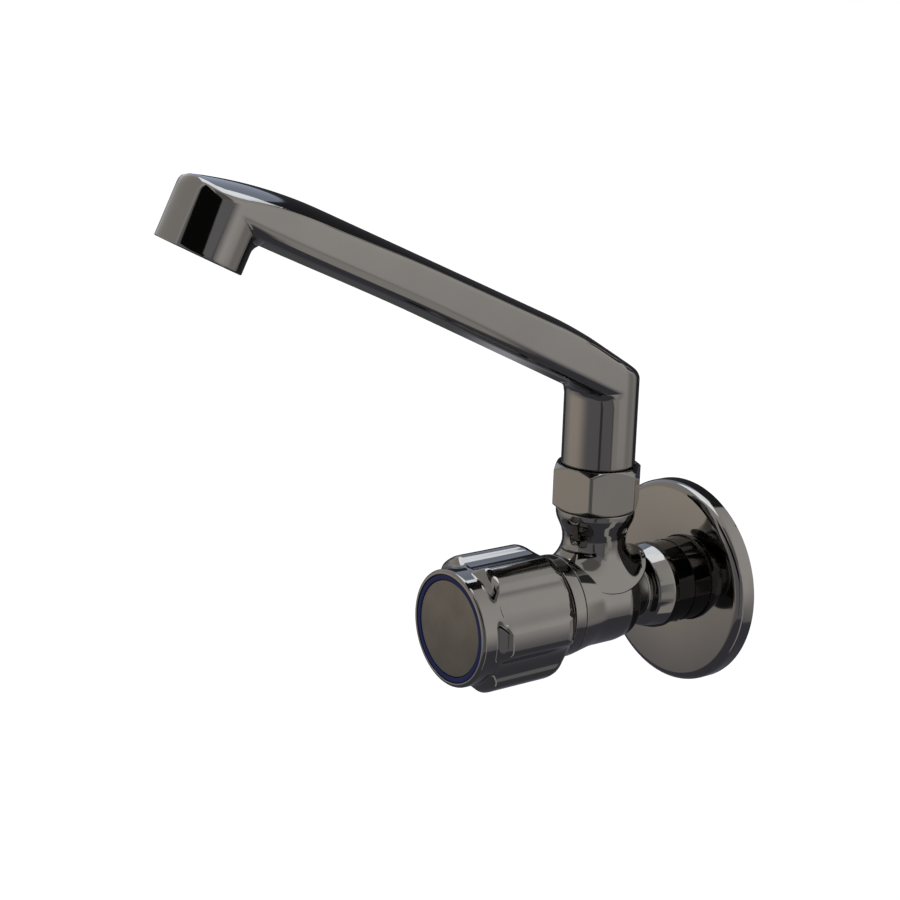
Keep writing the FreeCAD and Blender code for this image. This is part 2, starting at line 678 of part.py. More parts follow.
def make_spout():
    """The one-piece cast spout: tail, riser, arm and nozzle, with its waterway."""
    s = size
    turn_up = arm_up(s.end_turn_out)
    cos, sin = trig("cos", s.arm_rise), trig("sin", s.arm_rise)
    turn_centre = (-s.end_turn_out - s.end_turn_rad * sin, turn_up - s.end_turn_rad * cos)

    tilt_cos, tilt_sin = trig("cos", s.nozzle_tilt), trig("sin", s.nozzle_tilt)

    def on_turn(across):
        """Point of the end's turned top, above a point across the nozzle from the outlet's centre."""
        y0, z0 = nozzle_point(across, 0)
        dy, dz = y0 - turn_centre[0], z0 - turn_centre[1]
        offset = dz * tilt_sin - dy * tilt_cos
        reach = root(s.end_turn_rad * s.end_turn_rad - offset * offset)
        y = turn_centre[0] - offset * tilt_cos + reach * tilt_sin
        return y, turn_centre[1] + offset * tilt_sin + reach * tilt_cos

    axis_top = on_turn(0)
    wall_top = on_turn(s.nozzle_rad)
    bar = body("arm_bar")
    block = extrude_sides(bar, "arm_bar_sides", [
        (-s.riser_out, under_up(s.riser_out)),
        (-s.nozzle_out, under_up(s.nozzle_out)),
        (axis_top[0], axis_top[1] + s.riser_rad),
        (-s.riser_out, s.spout_top + s.riser_rad),
    ], 2 * s.riser_rad)
    doc.recompute()
    rounding = bar.newObject("PartDesign::Fillet", "arm_lower_rounds")
    rounding.Base = (block, lower_edges(block))
    rounding.setExpression("Radius", s.arm_round.text)
    riser_foot = s.nut_floor + s.slip_depth + s.bearing_gap
    riser = cylinder("riser", s.riser_rad, s.spout_top + s.riser_rad - riser_foot, Rotation())
    place(riser, -s.riser_out, riser_foot)
    tilt = Rotation(Vector(1, 0, 0), -SIZES["nozzle_tilt"])
    nozzle = cylinder("nozzle_upper", s.nozzle_rad, s.nozzle_top, tilt)
    place(nozzle, *nozzle_point(0, 0))
    solid = fuse("spout_block", [bar, riser, nozzle])
    side = body("spout_side")
    back = s.riser_rad - s.riser_out
    fall, lean = trig("tan", s.elbow_fall), trig("tan", s.elbow_lean)
    back_top = arm_up(s.elbow_out) - (s.elbow_out + back) * fall
    edge_run = s.elbow_edge / (lean - fall)
    tip_y, tip_z = wall_top[0] - s.tip_round * tilt_sin, wall_top[1] - s.tip_round * tilt_cos
    beyond = 2 * s.riser_rad
    extrude_sides(side, "spout_side_sides", [
        (back + beyond, riser_foot - beyond),
        (tip_y - beyond, riser_foot - beyond),
        (tip_y - beyond, tip_z - beyond),
        (tip_y + beyond, tip_z + beyond),
        (back - beyond * 2, back_top + beyond * 2 * fall),
        (back - edge_run, back_top + edge_run * fall),
        (back + beyond, back_top - s.elbow_edge - beyond * lean),
    ], 4 * s.riser_rad)
    crown = doc.addObject("Part::Feature", "arm_crown")
    crown.Shape = crown_shape(turn_up, turn_centre)
    trimmed = doc.addObject("Part::MultiCommon", "spout_trimmed")
    trimmed.Shapes = [solid, side, crown]
    tail = on_riser(body("spout_tail"))
    groove = s.tail_cord_rad + s.fit_gap
    bed = s.tail_ring_rad - s.tail_cord_rad - s.seal_play
    outline = [(0, s.tail_bottom), (s.tail_rad, s.tail_bottom)]
    for ring in (s.tail_ring_1, s.tail_ring_2):
        outline += [
            (s.tail_rad, ring - groove), (bed, ring - groove),
            (bed, ring + groove), (s.tail_rad, ring + groove),
        ]
    outline += [
        (s.tail_rad, s.hold_bottom),
        (s.hold_bed_rad, s.hold_bottom),
        (s.hold_bed_rad, s.hold_bottom + s.hold_depth + s.fit_gap),
        (s.tail_rad, s.hold_bottom + s.hold_depth + s.fit_gap),
        (s.tail_rad, riser_foot + OVER),
        (0, riser_foot + OVER),
    ]
    spin_up(tail, "spout_tail_turned", outline)
    whole = fuse("spout_solid", [trimmed, tail])
    tail_run = s.riser_bore_foot + 2 * OVER - s.tail_bottom
    tail_bore = cylinder("tail_bore", s.tail_bore_rad, tail_run, Rotation())
    place(tail_bore, -s.riser_out, s.tail_bottom - OVER)
    bore_top = s.spout_top - s.riser_bore_drop
    riser_bore = cylinder("riser_bore", s.riser_bore_rad, bore_top - s.riser_bore_foot, Rotation())
    place(riser_bore, -s.riser_out, s.riser_bore_foot)
    end_y, end_z = nozzle_point(0, s.arm_bore_end)
    bore_up = s.spout_top - s.arm_bore_drop
    run_y, run_z = -s.riser_out - end_y, end_z - bore_up
    slope = math.degrees(math.atan2(run_z.value, run_y.value))
    arm_bore = cylinder("arm_bore", s.arm_bore_rad, root(run_y * run_y + run_z * run_z),
                        Rotation(Vector(1, 0, 0), 90 - slope))
    place(arm_bore, -s.riser_out, bore_up)
    well = s.insert_rad + s.fit_gap
    outlet = cylinder("outlet_bore", well, s.insert_depth + s.outlet_seal_depth + s.outlet_lip + OVER, tilt)
    place(outlet, *nozzle_point(0, -OVER))
    upper = cylinder("outlet_well_bore", s.outlet_well_rad, s.outlet_well, tilt)
    place(upper, *nozzle_point(0, 0))
    bores = fuse("waterway", [tail_bore, riser_bore, arm_bore, outlet, upper])
    spout = doc.addObject("Part::Cut", "spout")
    spout.Label = "spout"
    spout.Base = whole
    spout.Tool = bores
    keep(spout)


def extrude_sides(owner, name, outline, width):
    """Pad a (Y, Z) outline to both sides of the spout's plane."""
    sketch = sketch_on(owner, f"{name}_outline", "YZ_Plane", -as_size(width) / 2)
    draw(sketch, outline)
    return extruded(owner, name, sketch, width, "Pad")


def lower_edges(block):
    """Names of the long edges along the underside of the arm."""
    found = []
    middle = SIZES["spout_top"] - SIZES["arm_thick"] / 2
    for number, edge in enumerate(block.Shape.Edges, start=1):
        first, last = edge.Vertexes[0].Point, edge.Vertexes[-1].Point
        low = min(first.z, last.z)
        run = last - first
        if abs(run.x) < 1e-6 and run.Length > 100 and low < middle:
            found.append(f"Edge{number}")
    return found


def cylinder(name, radius, height, turn):
    made = doc.addObject("Part::Cylinder", name)
    made.setExpression("Radius", radius.text)
    made.setExpression("Height", height.text)
    made.Placement = Placement(Vector(0, 0, 0), turn)
    return made


def place(made, y, z):
    made.setExpression("Placement.Base.y", as_size(y).text)
    made.setExpression("Placement.Base.z", as_size(z).text)


def fuse(name, parts):
    made = doc.addObject("Part::MultiFuse", name)
    made.Shapes = parts
    return made


def crown_shape(turn_up, turn_centre):
    """The crowned envelope: a wide arc carried along the arm's top line and round its end."""
    crown = SIZES["crown_rad"]
    rise = math.radians(SIZES["arm_rise"])
    along = Vector(0, -math.cos(rise), math.sin(rise))
    upward = Vector(0, math.sin(rise), math.cos(rise))
    turn_start = Vector(0, -SIZES["end_turn_out"], turn_up.value)
    centre = Vector(0, turn_centre[0].value, turn_centre[1].value)
    half, deep = 2 * SIZES["riser_rad"], 5 * SIZES["riser_rad"]
    drop = crown - math.sqrt(crown ** 2 - half ** 2)
    left = turn_start + Vector(-half, 0, 0) - upward * drop
    right = turn_start + Vector(half, 0, 0) - upward * drop
    low_right, low_left = right - upward * deep, left - upward * deep
    profile = Part.Face(Part.Wire([
        Part.Arc(left, turn_start, right).toShape(),
        Part.LineSegment(right, low_right).toShape(),
        Part.LineSegment(low_right, low_left).toShape(),
        Part.LineSegment(low_left, left).toShape(),
    ]))
    straight = profile.extrude(along * -(SIZES["end_turn_out"] + half))
    turned_end = profile.revolve(centre, Vector(1, 0, 0), SIZES["end_turn"])
    return straight.fuse(turned_end)


def make_spout_seals():
    """The tail's two sealing rings and the split ring that holds the spout down."""
    s = size
    o_rings("spout_seals", s.tail_ring_rad, s.tail_cord_rad,
            [(s.riser_out, s.tail_ring_1), (s.riser_out, s.tail_ring_2)], RISER_TURN)
    ring = turned_on_riser("spout_retaining_ring", [
        (s.hold_bed_rad + s.fit_gap, s.hold_bottom),
        (s.hold_rad, s.hold_bottom),
        (s.hold_rad, s.hold_bottom + s.hold_depth),
        (s.hold_bed_rad + s.fit_gap, s.hold_bottom + s.hold_depth),
    ])
    extrude(ring, "ring_split", "XY_Plane",
            rectangle(-s.hold_gap / 2, s.hold_gap / 2, 0, s.hold_rad + OVER),
            s.hold_bottom - OVER, s.hold_depth + 2 * OVER, kind="Pocket")


def outlet_piece(label):
    """A body whose own Z axis is the nozzle's axis, with its origin at the outlet's centre."""
    made = keep(body(label))
    y, z = nozzle_point(0, 0)
    made.Placement = Placement(Vector(0, y.value, z.value), Rotation(Vector(1, 0, 0), -SIZES["nozzle_tilt"]))
    made.setExpression("Placement.Base.y", y.text)
    made.setExpression("Placement.Base.z", z.text)
    return made


def make_aerator():
    """The pieces screwed into the nozzle: housing, screen, mixer and sealing washer."""
    s = size
    inner = s.insert_rad - s.insert_wall
    lip = inner - s.outlet_lip
    housing = outlet_piece("aerator_housing")
    spin_up(housing, "aerator_housing_turned", [
        (lip, s.insert_recess),
        (s.insert_rad, s.insert_recess),
        (s.insert_rad, s.outlet_lip + s.insert_depth),
        (inner, s.outlet_lip + s.insert_depth),
        (inner, s.screen_up),
        (lip, s.screen_up),
    ])
    screen = outlet_piece("aerator_screen")
    spin_up(screen, "aerator_screen_turned", [
        (0, s.screen_up),
        (inner - s.fit_gap, s.screen_up),
        (inner - s.fit_gap, s.screen_up + s.screen_depth),
        (0, s.screen_up + s.screen_depth),
    ])
    holes = sketch_on(screen, "screen_holes_outline", "XY_Plane", s.screen_up)
    for ring in range(SCREEN_RINGS):
        for step in range(max(6 * ring, 1)):
            turn = 2 * math.pi * step / max(6 * ring, 1)
            x = s.screen_pitch * (ring * math.cos(turn))
            y = s.screen_pitch * (ring * math.sin(turn))
            circle = holes.addGeometry(Part.Circle(Vector(x.value, y.value, 0), Vector(0, 0, 1),
                                                   s.screen_hole_rad.value))
            rule = holes.addConstraint(Sketcher.Constraint("Radius", circle, s.screen_hole_rad.value))
            holes.setExpression(f"Constraints[{rule}]", s.screen_hole_rad.text)
            if ring == 0:
                holes.addConstraint(Sketcher.Constraint("Coincident", circle, 3, -1, 1))
                continue
            for kind, value in (("DistanceX", x), ("DistanceY", y)):
                rounded = value if abs(value.value) > 1e-6 else 0
                hold(holes, kind, (circle, 3), rounded)
    extruded(screen, "screen_holes", holes, s.screen_depth, "Pocket")
    mixer = outlet_piece("aerator_mixer")
    mixer_bottom = s.screen_up + s.screen_depth + s.insert_recess
    spin_up(mixer, "aerator_mixer_turned", [
        (s.outlet_lip * 2, mixer_bottom),
        (inner - s.fit_gap, mixer_bottom),
        (inner - s.fit_gap, mixer_bottom + s.mixer_depth),
        (inner - s.outlet_lip, mixer_bottom + s.mixer_depth),
        (inner - s.outlet_lip, mixer_bottom + s.outlet_lip),
        (s.outlet_lip * 2, mixer_bottom + s.outlet_lip),
    ])
    seal = outlet_piece("aerator_seal")
    seal_bottom = s.outlet_lip + s.insert_depth
    spin_up(seal, "aerator_seal_turned", [
        (inner, seal_bottom),
        (s.insert_rad - s.fit_gap, seal_bottom),
        (s.insert_rad - s.fit_gap, seal_bottom + s.outlet_seal_depth),
        (inner, seal_bottom + s.outlet_seal_depth),
    ])


make_tap_body()
make_flange()
make_bonnet()
make_spindle()
make_jumper()
make_knob()
make_outlet_nut()
make_spout()
make_spout_seals()
make_aerator()
doc.recompute()

for item in doc.Objects:
    if "Invalid" in item.State or "Error" in item.State:
        raise RuntimeError(f"{item.Label} could not be made: {item.State}")
os.makedirs("parts", exist_ok=True)
for node in nodes:
    if node.Shape.isNull() or not node.Shape.isValid():
        raise RuntimeError(f"{node.Label} has no valid shape")
for node in nodes:
    node.Shape.exportStep(f"parts/{node.Label}.step")
    print(node.Label, len(node.Shape.Solids), round(node.Shape.Volume, 1))
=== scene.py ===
import math

import bmesh
import bpy
import numpy as np
from bpy.props import FloatProperty, FloatVectorProperty, IntProperty, PointerProperty
from bpy.types import Operator, Panel, PropertyGroup
from mathutils import Matrix, Vector


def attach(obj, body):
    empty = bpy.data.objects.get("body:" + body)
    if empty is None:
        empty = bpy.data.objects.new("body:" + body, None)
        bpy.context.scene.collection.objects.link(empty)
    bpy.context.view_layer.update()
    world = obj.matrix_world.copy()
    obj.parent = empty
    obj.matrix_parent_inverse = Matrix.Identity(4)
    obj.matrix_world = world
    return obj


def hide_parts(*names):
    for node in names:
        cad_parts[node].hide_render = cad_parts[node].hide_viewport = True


bl_info = {
    "name": "Wall tap",
    "version": (1, 0, 0),
    "blender": (4, 5, 0),
    "location": "View3D > Sidebar > Wall tap",
    "description": "Makes the visible pieces of a wall-mounted kitchen tap with a swivel spout",
    "category": "Add Mesh",
}

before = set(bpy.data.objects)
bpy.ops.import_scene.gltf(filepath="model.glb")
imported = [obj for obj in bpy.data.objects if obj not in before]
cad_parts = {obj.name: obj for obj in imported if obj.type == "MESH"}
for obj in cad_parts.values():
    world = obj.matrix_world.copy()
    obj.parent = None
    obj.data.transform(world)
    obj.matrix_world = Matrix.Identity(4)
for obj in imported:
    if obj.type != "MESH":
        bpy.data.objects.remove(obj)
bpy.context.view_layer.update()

# The origin is the centre of the flange's back, on the inlet axis. -Y leads out of the wall, +Z is up.
# "Out" values are distances from the wall.
MM = 0.001
# Points closer than this are one point
MERGE = 0.001 * MM
# The branch's bulb stands this much outside the body's, so that their surfaces don't coincide
BRANCH_SEAM = 0.02 * MM
# Distances from the wall over which the spout's crown and its belly change
CROWN_CHANGE = (115 * MM, 155 * MM)
BELLY_CHANGE = (110 * MM, 175 * MM)
# Distances from the spout's middle plane over which its fillets grow from a least share to the whole
FILLET_FADE = (12 * MM, 4 * MM)
LEAST_FILLET = 0.02
# Distances past the nozzle's axis over which the top's edge takes the tip's rounding
TIP_CHANGE = (10.4 * MM, 12.7 * MM)
# Rays that look for a surface take this many steps, each a share of the distance that is left
CAST_STEPS = 120
CAST_PACE = 0.75


def length(name, description, millimetres):
    return FloatProperty(name=name, description=description, default=millimetres * MM, min=0.0,
                         unit="LENGTH", precision=5)


def angle(name, description, degrees):
    return FloatProperty(name=name, description=description, default=math.radians(degrees),
                         min=0.0, max=math.pi, unit="ROTATION", subtype="ANGLE")


def colour(name, description, red, green, blue):
    return FloatVectorProperty(name=name, description=description, default=(red, green, blue),
                               min=0.0, max=1.0, size=3, subtype="COLOR")


def factor(name, description, default):
    return FloatProperty(name=name, description=description, default=default, min=0.0, max=1.0,
                         subtype="FACTOR")


class SpoutSizes(PropertyGroup):
    riser_out: length("Riser distance", "Riser's axis from the wall", 41.3)
    riser_radius: length("Riser radius", "Radius of the riser and half the arm's width", 12.1)
    riser_foot: length("Riser foot", "Height of the riser's end inside the nut", 45.25)
    top_height: length("Top height", "Arm's top line above the inlet, over the riser's axis", 87.15)
    rise: angle("Arm rise", "Slope of the arm's top line", 23.7)
    under_height: length("Underside height", "Arm's underside above the inlet, on the riser's axis", 67.8)
    under_rise: angle("Underside rise", "Slope of the arm's underside", 25.2)
    under_belly: length("Underside belly", "Extra depth of the arm next to the nozzle", 1.5)
    crown: length("Crown radius", "Radius of the arm's arched top", 26.0)
    nozzle_crown: length("Nozzle crown radius", "Radius of the arched top over the nozzle", 19.5)
    turn_out: length("Turn start", "Distance from the wall at which the top starts to level out", 150.5)
    turn_radius: length("Turn radius", "Radius of the levelling top", 150.0)
    elbow_out: length("Elbow start", "Distance from the wall at which the elbow's top starts to drop", 57.5)
    elbow_fall: angle("Elbow fall", "Slope of the elbow's dropping top", 31.1)
    elbow_edge: length("Elbow edge", "Depth of the rounding at the elbow's back", 3.5)
    elbow_lean: angle("Elbow lean", "Slope of the elbow's back rounding", 60.0)
    elbow_bend: length("Elbow bend", "Radius between the arm's top and the elbow's", 1.2)
    back_bend: length("Back bend", "Radius between the elbow's top and its back", 2.4)
    elbow_crease: length("Elbow crease", "Least radius of the edges beside the elbow's top", 1.6)
    nozzle_radius: length("Nozzle radius", "Outer radius of the nozzle", 12.85)
    nozzle_tilt: angle("Nozzle tilt", "Angle of the nozzle's axis from upright", 26.2)
    nozzle_out: length("Nozzle distance", "Centre of the nozzle's mouth from the wall", 187.7)
    nozzle_height: length("Nozzle height", "Centre of the nozzle's mouth above the inlet", 124.1)
    mouth_lean: angle("Mouth lean", "Sideways lean of the nozzle's mouth", 4.2)
    mouth_radius: length("Mouth radius", "Inner radius of the nozzle's mouth", 11.25)
    mouth_depth: length("Mouth depth", "Depth of the nozzle's bore", 11.4)
    widen_length: length("Widening length", "Length over which the arm widens to the nozzle", 125.0)
    lower_round: length("Lower rounding", "Radius of the arm's lower edges", 4.0)
    crease_round: length("Crease rounding", "Radius of the edges between the top and the sides", 0.6)
    tip_round: length("Tip rounding", "Radius of the top edge at the nozzle's end", 3.2)
    blend: length("Elbow blend", "Radius in the corner under the elbow", 2.2)
    nozzle_blend: length("Nozzle blend", "Radius in the corner behind the nozzle", 4.6)


class BodySizes(PropertyGroup):
    neck_radius: length("Neck radius", "Radius of the neck behind the bulb", 9.75)
    bulb_radius: length("Bulb radius", "Radius of the bulb", 15.5)
    boss_radius: length("Boss radius", "Radius of the bulb's front end", 17.0)
    crest_radius: length("Collar radius", "Largest radius of the collar at the flange", 14.8)
    branch_radius: length("Branch radius", "Radius of the branch under the nut", 10.5)
    cup_radius: length("Cup radius", "Radius of the cup that the nut sits on", 13.1)
    branch_blend: length("Branch blend", "Radius between the branch and the bulb", 6.5)
    thread_radius: length("Thread radius", "Radius over the inlet's thread", 10.48)
    thread_pitch: length("Thread pitch", "Distance between the inlet's thread turns", 1.814)


class FlangeSizes(PropertyGroup):
    radius: length("Flange radius", "Outer radius of the wall flange", 35.0)
    depth: length("Flange depth", "Distance of the flange's face from the wall", 7.1)
    wall: length("Flange wall", "Thickness of the flange's metal", 1.2)
    bore: length("Flange bore", "Radius of the flange's opening round the body", 14.25)
    rounding: length("Edge rounding", "Radius of the flange's edge", 2.9)


class KnobSizes(PropertyGroup):
    lobes: IntProperty(name="Lobes", description="Number of finger lobes", default=6, min=3, max=12)
    lobe_radius: length("Lobe radius", "Radius over the lobes", 22.3)
    flute_radius: length("Flute radius", "Radius of each hollow between lobes", 9.7)
    flute_floor: length("Flute floor", "Distance from the axis to the floor of a hollow", 18.8)
    flute_edge: length("Flute edge", "Radius of the edges between lobes and hollows", 1.6)
    skirt_radius: length("Skirt radius", "Radius of the skirt behind the lobes", 17.0)
    collar_radius: length("Front radius", "Radius of the round front edge", 19.0)
    ring_radius: length("Ring radius", "Outer radius of the coloured index ring", 17.45)
    cap_radius: length("Cap radius", "Radius of the cap inside the index ring", 15.6)
    back_edge: length("Back rounding", "Radius of the lobes' back edge", 2.2)
    front_edge: length("Front rounding", "Radius of the lobes' front edge", 1.5)
    skirt_end: length("Skirt end", "Distance from the wall at which the skirt ends inside the lobes", 80.0)
    collar_start: length("Front start", "Distance from the wall at which the round front starts", 92.0)
    back: length("Knob back", "Distance of the skirt's back edge from the wall", 62.0)
    shoulder: length("Shoulder", "Distance at which the lobes reach their full radius", 66.6)
    slope_start: length("Slope start", "Distance at which the lobes' front starts to slope in", 91.9)
    slope_end: length("Slope end", "Distance at which the slope meets the front edge", 94.6)
    recess: length("Recess", "Distance of the floor that the cap and the ring sit on", 96.5)
    front: length("Knob front", "Distance of the knob's front from the wall", 100.0)


class NutSizes(PropertyGroup):
    flats: length("Across flats", "Width of the nut across its flats", 26.8)
    corner_turn: angle("Corner turn", "Turn of the nut's first corner from the X axis", 12.0)
    bevel: length("Bevel", "Height of the bevels on the nut's corners", 1.6)
    bottom: length("Bottom", "Height of the nut's lower face", 31.9)
    top: length("Top", "Height of the nut's upper face", 46.5)


class FinishColours(PropertyGroup):
    chrome: colour("Dark chrome", "Polished dark chrome plating", 0.19, 0.180, 0.168)
    cap: colour("Cap", "Satin cap in the front of the knob", 0.128, 0.117, 0.099)
    index: colour("Index ring", "Coloured plastic of the index ring", 0.007, 0.013, 0.09)
    brass: colour("Brass", "Bare brass", 0.72, 0.48, 0.20)
    steel: colour("Steel", "Stainless steel", 0.55, 0.55, 0.54)
    rubber: colour("Rubber", "Black sealing rubber", 0.018, 0.018, 0.019)
    fibre: colour("Fibre", "Red fibre washer", 0.28, 0.05, 0.03)
    plastic: colour("Plastic", "White moulded plastic", 0.72, 0.72, 0.70)
    polish: factor("Polish roughness", "Roughness of the polished plating", 0.05)
    satin: factor("Satin roughness", "Roughness of the satin cap", 0.32)


class StageSettings(PropertyGroup):
    azimuth: FloatProperty(name="Azimuth", description="Camera's turn round the tap",
                           default=math.radians(53.885), unit="ROTATION", subtype="ANGLE")
    elevation: FloatProperty(name="Elevation", description="Camera's height angle",
                             default=math.radians(14.625), unit="ROTATION", subtype="ANGLE")
    roll: FloatProperty(name="Roll", description="Camera's turn about its own axis",
                        default=math.radians(1.721), unit="ROTATION", subtype="ANGLE")
    position: FloatVectorProperty(name="Position", description="Camera's place", size=3,
                                  default=(0.43177, -0.41638, 0.19805), unit="LENGTH",
                                  subtype="TRANSLATION")
    lens: FloatProperty(name="Lens", description="Focal length", default=72.0, min=1.0,
                        unit="CAMERA")
    floor: colour("Floor", "Pale floor and surroundings", 0.86, 0.86, 0.86)
    floor_drop: length("Floor drop", "Depth of the floor below the inlet", 1300.0)


# Shapes as distances: negative inside the metal and positive outside.

def round_union(a, b, radius):
    """Two shapes joined, with a hollow fillet between them."""
    near = np.hypot(np.maximum(radius - a, 0), np.maximum(radius - b, 0))
    return np.maximum(radius, np.minimum(a, b)) - near


def round_common(a, b, radius):
    """What two shapes share, with its edge rounded."""
    near = np.hypot(np.maximum(radius + a, 0), np.maximum(radius + b, 0))
    return np.minimum(-radius, np.maximum(a, b)) + near


def smooth_step(value, start, end):
    share = np.clip((value - start) / (end - start), 0, 1)
    return share * share * (3 - 2 * share)


def arched(x, above, radius):
    """Distance from a top surface that is arched across, given the height above its ridge."""
    return np.hypot(x, above + radius) - radius


def cone(around, height, start, end):
    """Distance from the line through two (radius, height) points, positive on the right of the way from
    the first one to the second."""
    run = np.array(end) - np.array(start)
    run /= np.hypot(*run)
    return (around - start[0]) * run[1] - (height - start[1]) * run[0]


def arm_height(s, out):
    return s.top_height + (out - s.riser_out) * math.tan(s.rise)


def nozzle_axes(s):
    """The nozzle's mouth centre, the way across it, and the way up it, as (Y, Z) pairs."""
    centre = np.array([-s.nozzle_out, s.nozzle_height])
    across = np.array([-math.cos(s.nozzle_tilt), math.sin(s.nozzle_tilt)])
    upward = np.array([math.sin(s.nozzle_tilt), math.cos(s.nozzle_tilt)])
    return centre, across, upward


def arm_top(x, out, up, s):
    """The arm's arched top: a straight rise that turns level towards the nozzle."""
    turn_up = arm_height(s, s.turn_out)
    centre_out = s.turn_out + s.turn_radius * math.sin(s.rise)
    centre_up = turn_up - s.turn_radius * math.cos(s.rise)
    past_turn = (out - s.turn_out) * math.cos(s.rise) + (up - turn_up) * math.sin(s.rise)
    straight = (up - arm_height(s, out)) * math.cos(s.rise)
    turned_top = np.hypot(out - centre_out, up - centre_up) - s.turn_radius
    crown = s.crown + (s.nozzle_crown - s.crown) * smooth_step(out, *CROWN_CHANGE)
    return arched(x, np.where(past_turn > 0, turned_top, straight), crown)


def spout_top(x, out, up, s):
    """The arm's top cut by the elbow's falling top and by the rounding at the elbow's back."""
    fall_line = arm_height(s, s.elbow_out) - (s.elbow_out - out) * math.tan(s.elbow_fall)
    fallen = arched(x, (up - fall_line) * math.cos(s.elbow_fall), s.crown)
    back_out = s.riser_out - s.riser_radius
    back_up = arm_height(s, s.elbow_out) - (s.elbow_out - back_out) * math.tan(s.elbow_fall)
    lean_line = back_up - s.elbow_edge + (out - back_out) * math.tan(s.elbow_lean)
    leaning = (up - lean_line) * math.cos(s.elbow_lean)
    top = round_common(arm_top(x, out, up, s), fallen, s.elbow_bend)
    return round_common(top, leaning, s.back_bend)


def spout_distance(points, s):
    x, y, up = points[:, 0], points[:, 1], points[:, 2]
    out = -y
    centre, across, upward = nozzle_axes(s)
    beyond = (y - centre[0]) * across[0] + (up - centre[1]) * across[1]
    under_line = s.under_height + (out - s.riser_out) * math.tan(s.under_rise)
    under_line = under_line - s.under_belly * smooth_step(out, *BELLY_CHANGE)
    below = (under_line - up) * math.cos(s.under_rise)
    widening = np.clip(1 + beyond / s.widen_length, 0, 1)
    half = s.riser_radius + (s.nozzle_radius - s.riser_radius) * widening
    arm = round_common(np.abs(x) - half, below, s.lower_round)
    arm = np.maximum(arm, np.maximum(s.riser_out - out, beyond))
    riser = np.hypot(x, out - s.riser_out) - s.riser_radius
    nozzle = np.hypot(x, beyond) - s.nozzle_radius
    fillet = LEAST_FILLET + (1 - LEAST_FILLET) * smooth_step(np.abs(x), *FILLET_FADE)
    shape = round_union(round_union(arm, riser, s.blend * fillet), nozzle, s.nozzle_blend * fillet)
    edge = s.crease_round + (s.tip_round - s.crease_round) * smooth_step(beyond, *TIP_CHANGE)
    edge = np.where(out < s.elbow_out, np.maximum(edge, s.elbow_crease), edge)
    return round_common(shape, spout_top(x, out, up, s), edge)


def branch_distance(points, s, out):
    """The bulb with the branch that rises from it and widens into the nut's cup."""
    x, y, up = points[:, 0], points[:, 1] + out, points[:, 2]
    cup, stem = s.cup_radius / MM, s.branch_radius / MM
    heights = np.array([0, 20, 22.5, 24.5, 26, 28, 29.6, 30.6, 31.2, 40])
    radii = [stem, stem, stem + 0.15, stem + 0.6, stem + 1.25, cup - 0.45, cup - 0.05, cup, cup, cup]
    branch = np.hypot(x, y) - np.interp(up / MM, heights, radii) * MM
    bulb = np.hypot(points[:, 0], points[:, 2]) - s.bulb_radius - BRANCH_SEAM
    return round_union(bulb, branch, s.branch_blend)


def knob_distance(points, s):
    """The lobed grip round the Z axis, with heights as distances from the wall."""
    x, y, out = points[:, 0], points[:, 1], points[:, 2]
    around = np.hypot(x, y)
    widest = s.lobe_radius + 0.4 * MM
    back = cone(around, out, (s.skirt_radius, s.back), (widest, s.shoulder))
    front = cone(around, out, (widest, s.slope_start), (s.collar_radius - 0.4 * MM, s.slope_end))
    grip = round_common(around - s.lobe_radius, back, s.back_edge)
    grip = round_common(grip, front, s.front_edge)
    turn = np.arctan2(y, x)
    pitch = 2 * math.pi / s.lobes
    turn = np.abs(turn - pitch * np.round(turn / pitch))
    reach = s.flute_floor + s.flute_radius
    flute = np.hypot(around * np.cos(turn) - reach * math.cos(pitch / 2),
                     around * np.sin(turn) - reach * math.sin(pitch / 2)) - s.flute_radius
    grip = round_common(grip, -flute, s.flute_edge)
    collar = np.maximum(around - s.collar_radius, s.collar_start - out)
    skirt = np.maximum(around - s.skirt_radius, out - s.skirt_end)
    return round_union(np.minimum(grip, skirt), collar, 0.5 * MM)


def nut_distance(points, s):
    """The hexagon round the Z axis, with its corners bevelled above and below."""
    x, y, up = points[:, 0], points[:, 1], points[:, 2]
    half = s.flats / 2
    corner = half / math.cos(math.pi / 6)
    around = np.hypot(x, y)
    turned_side = math.cos(math.pi / 3) * x + math.sin(math.pi / 3) * np.abs(y)
    hexagon = round_common(x - half, turned_side - half, 0.5 * MM)
    upper = cone(around, up, (corner, s.top - s.bevel), (half, s.top))
    lower = cone(around, up, (corner, s.bottom + s.bevel), (half, s.bottom))
    return round_common(round_common(hexagon, upper, 0.25 * MM), -lower, 0.25 * MM)


def cast(origins, directions, distance):
    """The first points at which rays from inside a shape leave it."""
    origins, directions = np.array(origins), np.array(directions)
    travel = np.zeros(len(origins))
    for _ in range(CAST_STEPS):
        travel -= CAST_PACE * distance(origins + directions * travel[:, None])
    return origins + directions * travel[:, None]


# Points and meshes in rings.

def full_turn(columns):
    return np.linspace(0, 2 * math.pi, columns, endpoint=False)


def stretches(*parts):
    """Values in metres, from (first, last, count) stretches in millimetres."""
    return np.concatenate([np.linspace(*part) for part in parts]) * MM


def level_rays(levels, turns, out=0.0):
    """Origins up an upright axis at a distance from the wall, and level directions at each turn."""
    origins = [(0, -out, level) for level in levels for _ in turns]
    directions = [(math.cos(turn), math.sin(turn), 0) for _ in levels for turn in turns]
    return origins, directions


def turned(line, turns):
    """A (radius, height) line at each turn about the Z axis, ring by ring."""
    return np.array([(radius * math.cos(turn), radius * math.sin(turn), height)
                     for radius, height in line for turn in turns])


def laid(points):
    """Points round the Z axis laid along the inlet axis, with heights as distances from the wall."""
    return points[:, [0, 2, 1]] * (1, -1, 1)


